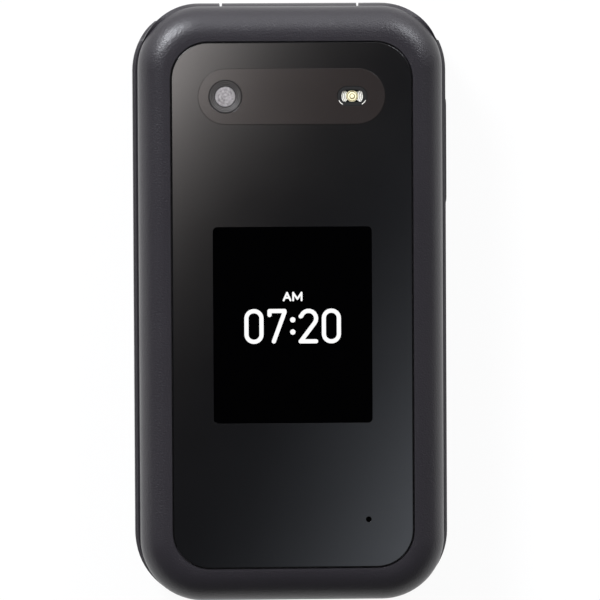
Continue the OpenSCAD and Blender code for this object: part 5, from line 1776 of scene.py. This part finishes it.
class PHONE_OT_sockets(PhoneOperator):
    """Contacts of the charging socket and the headset socket's lip"""
    bl_idname = "phone.sockets"
    bl_label = "Sockets"

    def build(self):
        _, _, mid, _ = span("usb_socket")
        grown("usb_contacts", tree("contacts"),
              {"Count": 5, "Pitch": 0.75 * MM, "Strip": (0.32 * MM, 3.2 * MM, 0.06 * MM),
               "Centre": (mid.x, mid.y - 0.2 * MM, mid.z - 0.06 * MM), "Material": material("gold")},
              "base")
        make_headset_lip()


def make_headset_lip():
    """A thin metal lining inside the mouth of the headset socket."""
    low, _, mid, _ = span("headset_jack")
    mouth = low.y
    outer, inner = 1.8 * MM, 1.74 * MM
    loop = [(inner, mouth + 0.1 * MM), (outer, mouth + 0.1 * MM), (outer, mouth + 1.4 * MM),
            (inner, mouth + 1.4 * MM)]
    vertices, faces = [], []
    steps = 48
    for r, y in loop:
        for i in range(steps):
            a = 2 * pi * i / steps
            vertices.append((mid.x + r * cos(a), y, mid.z + r * sin(a)))
    for k in range(len(loop)):
        row, next_row = k * steps, (k + 1) % len(loop) * steps
        for i in range(steps):
            j = (i + 1) % steps
            faces.append((row + i, row + j, next_row + j, next_row + i))
    lip = make_object("headset_lip", vertices, faces, material("steel"), None, "base")
    bm = bmesh.new()
    bm.from_mesh(lip.data)
    bmesh.ops.recalc_face_normals(bm, faces=bm.faces)
    bm.to_mesh(lip.data)
    bm.free()
    lip.data.set_sharp_from_angle(angle=radians(40))


class PHONE_PT_looks(bpy.types.Panel):
    """Sidebar panel with the phone's settings and its parts"""
    bl_label = "Flip Phone"
    bl_idname = "PHONE_PT_looks"
    bl_space_type = "VIEW_3D"
    bl_region_type = "UI"
    bl_category = "Flip Phone"

    def draw(self, context):
        scene = context.scene
        for group_name in ("phone_finish", "phone_sizes", "phone_studio"):
            settings = getattr(scene, group_name)
            box = self.layout.box()
            for key in settings.__annotations__:
                box.prop(settings, key)
        for operator in OPERATORS:
            self.layout.operator(operator.bl_idname)


OPERATORS = (PHONE_OT_stage, PHONE_OT_solid_finishes, PHONE_OT_cover_window, PHONE_OT_camera,
             PHONE_OT_flash, PHONE_OT_outer_screen, PHONE_OT_keys, PHONE_OT_key_marks,
             PHONE_OT_navigation, PHONE_OT_rocker, PHONE_OT_inner_screen, PHONE_OT_speaker_mesh,
             PHONE_OT_sockets)
CLASSES = (PhoneFinish, PhoneSizes, PhoneStudio, *OPERATORS, PHONE_PT_looks)


def register():
    for cls in CLASSES:
        bpy.utils.register_class(cls)
    bpy.types.Scene.phone_finish = PointerProperty(type=PhoneFinish)
    bpy.types.Scene.phone_sizes = PointerProperty(type=PhoneSizes)
    bpy.types.Scene.phone_studio = PointerProperty(type=PhoneStudio)


def unregister():
    del bpy.types.Scene.phone_studio
    del bpy.types.Scene.phone_sizes
    del bpy.types.Scene.phone_finish
    for cls in reversed(CLASSES):
        bpy.utils.unregister_class(cls)


def main():
    register()
    bpy.context.scene.view_settings.view_transform = "Standard"
    for operator in OPERATORS:
        family, name = operator.bl_idname.split(".")
        getattr(getattr(bpy.ops, family), name)()


if __name__ == "__main__":
    main()
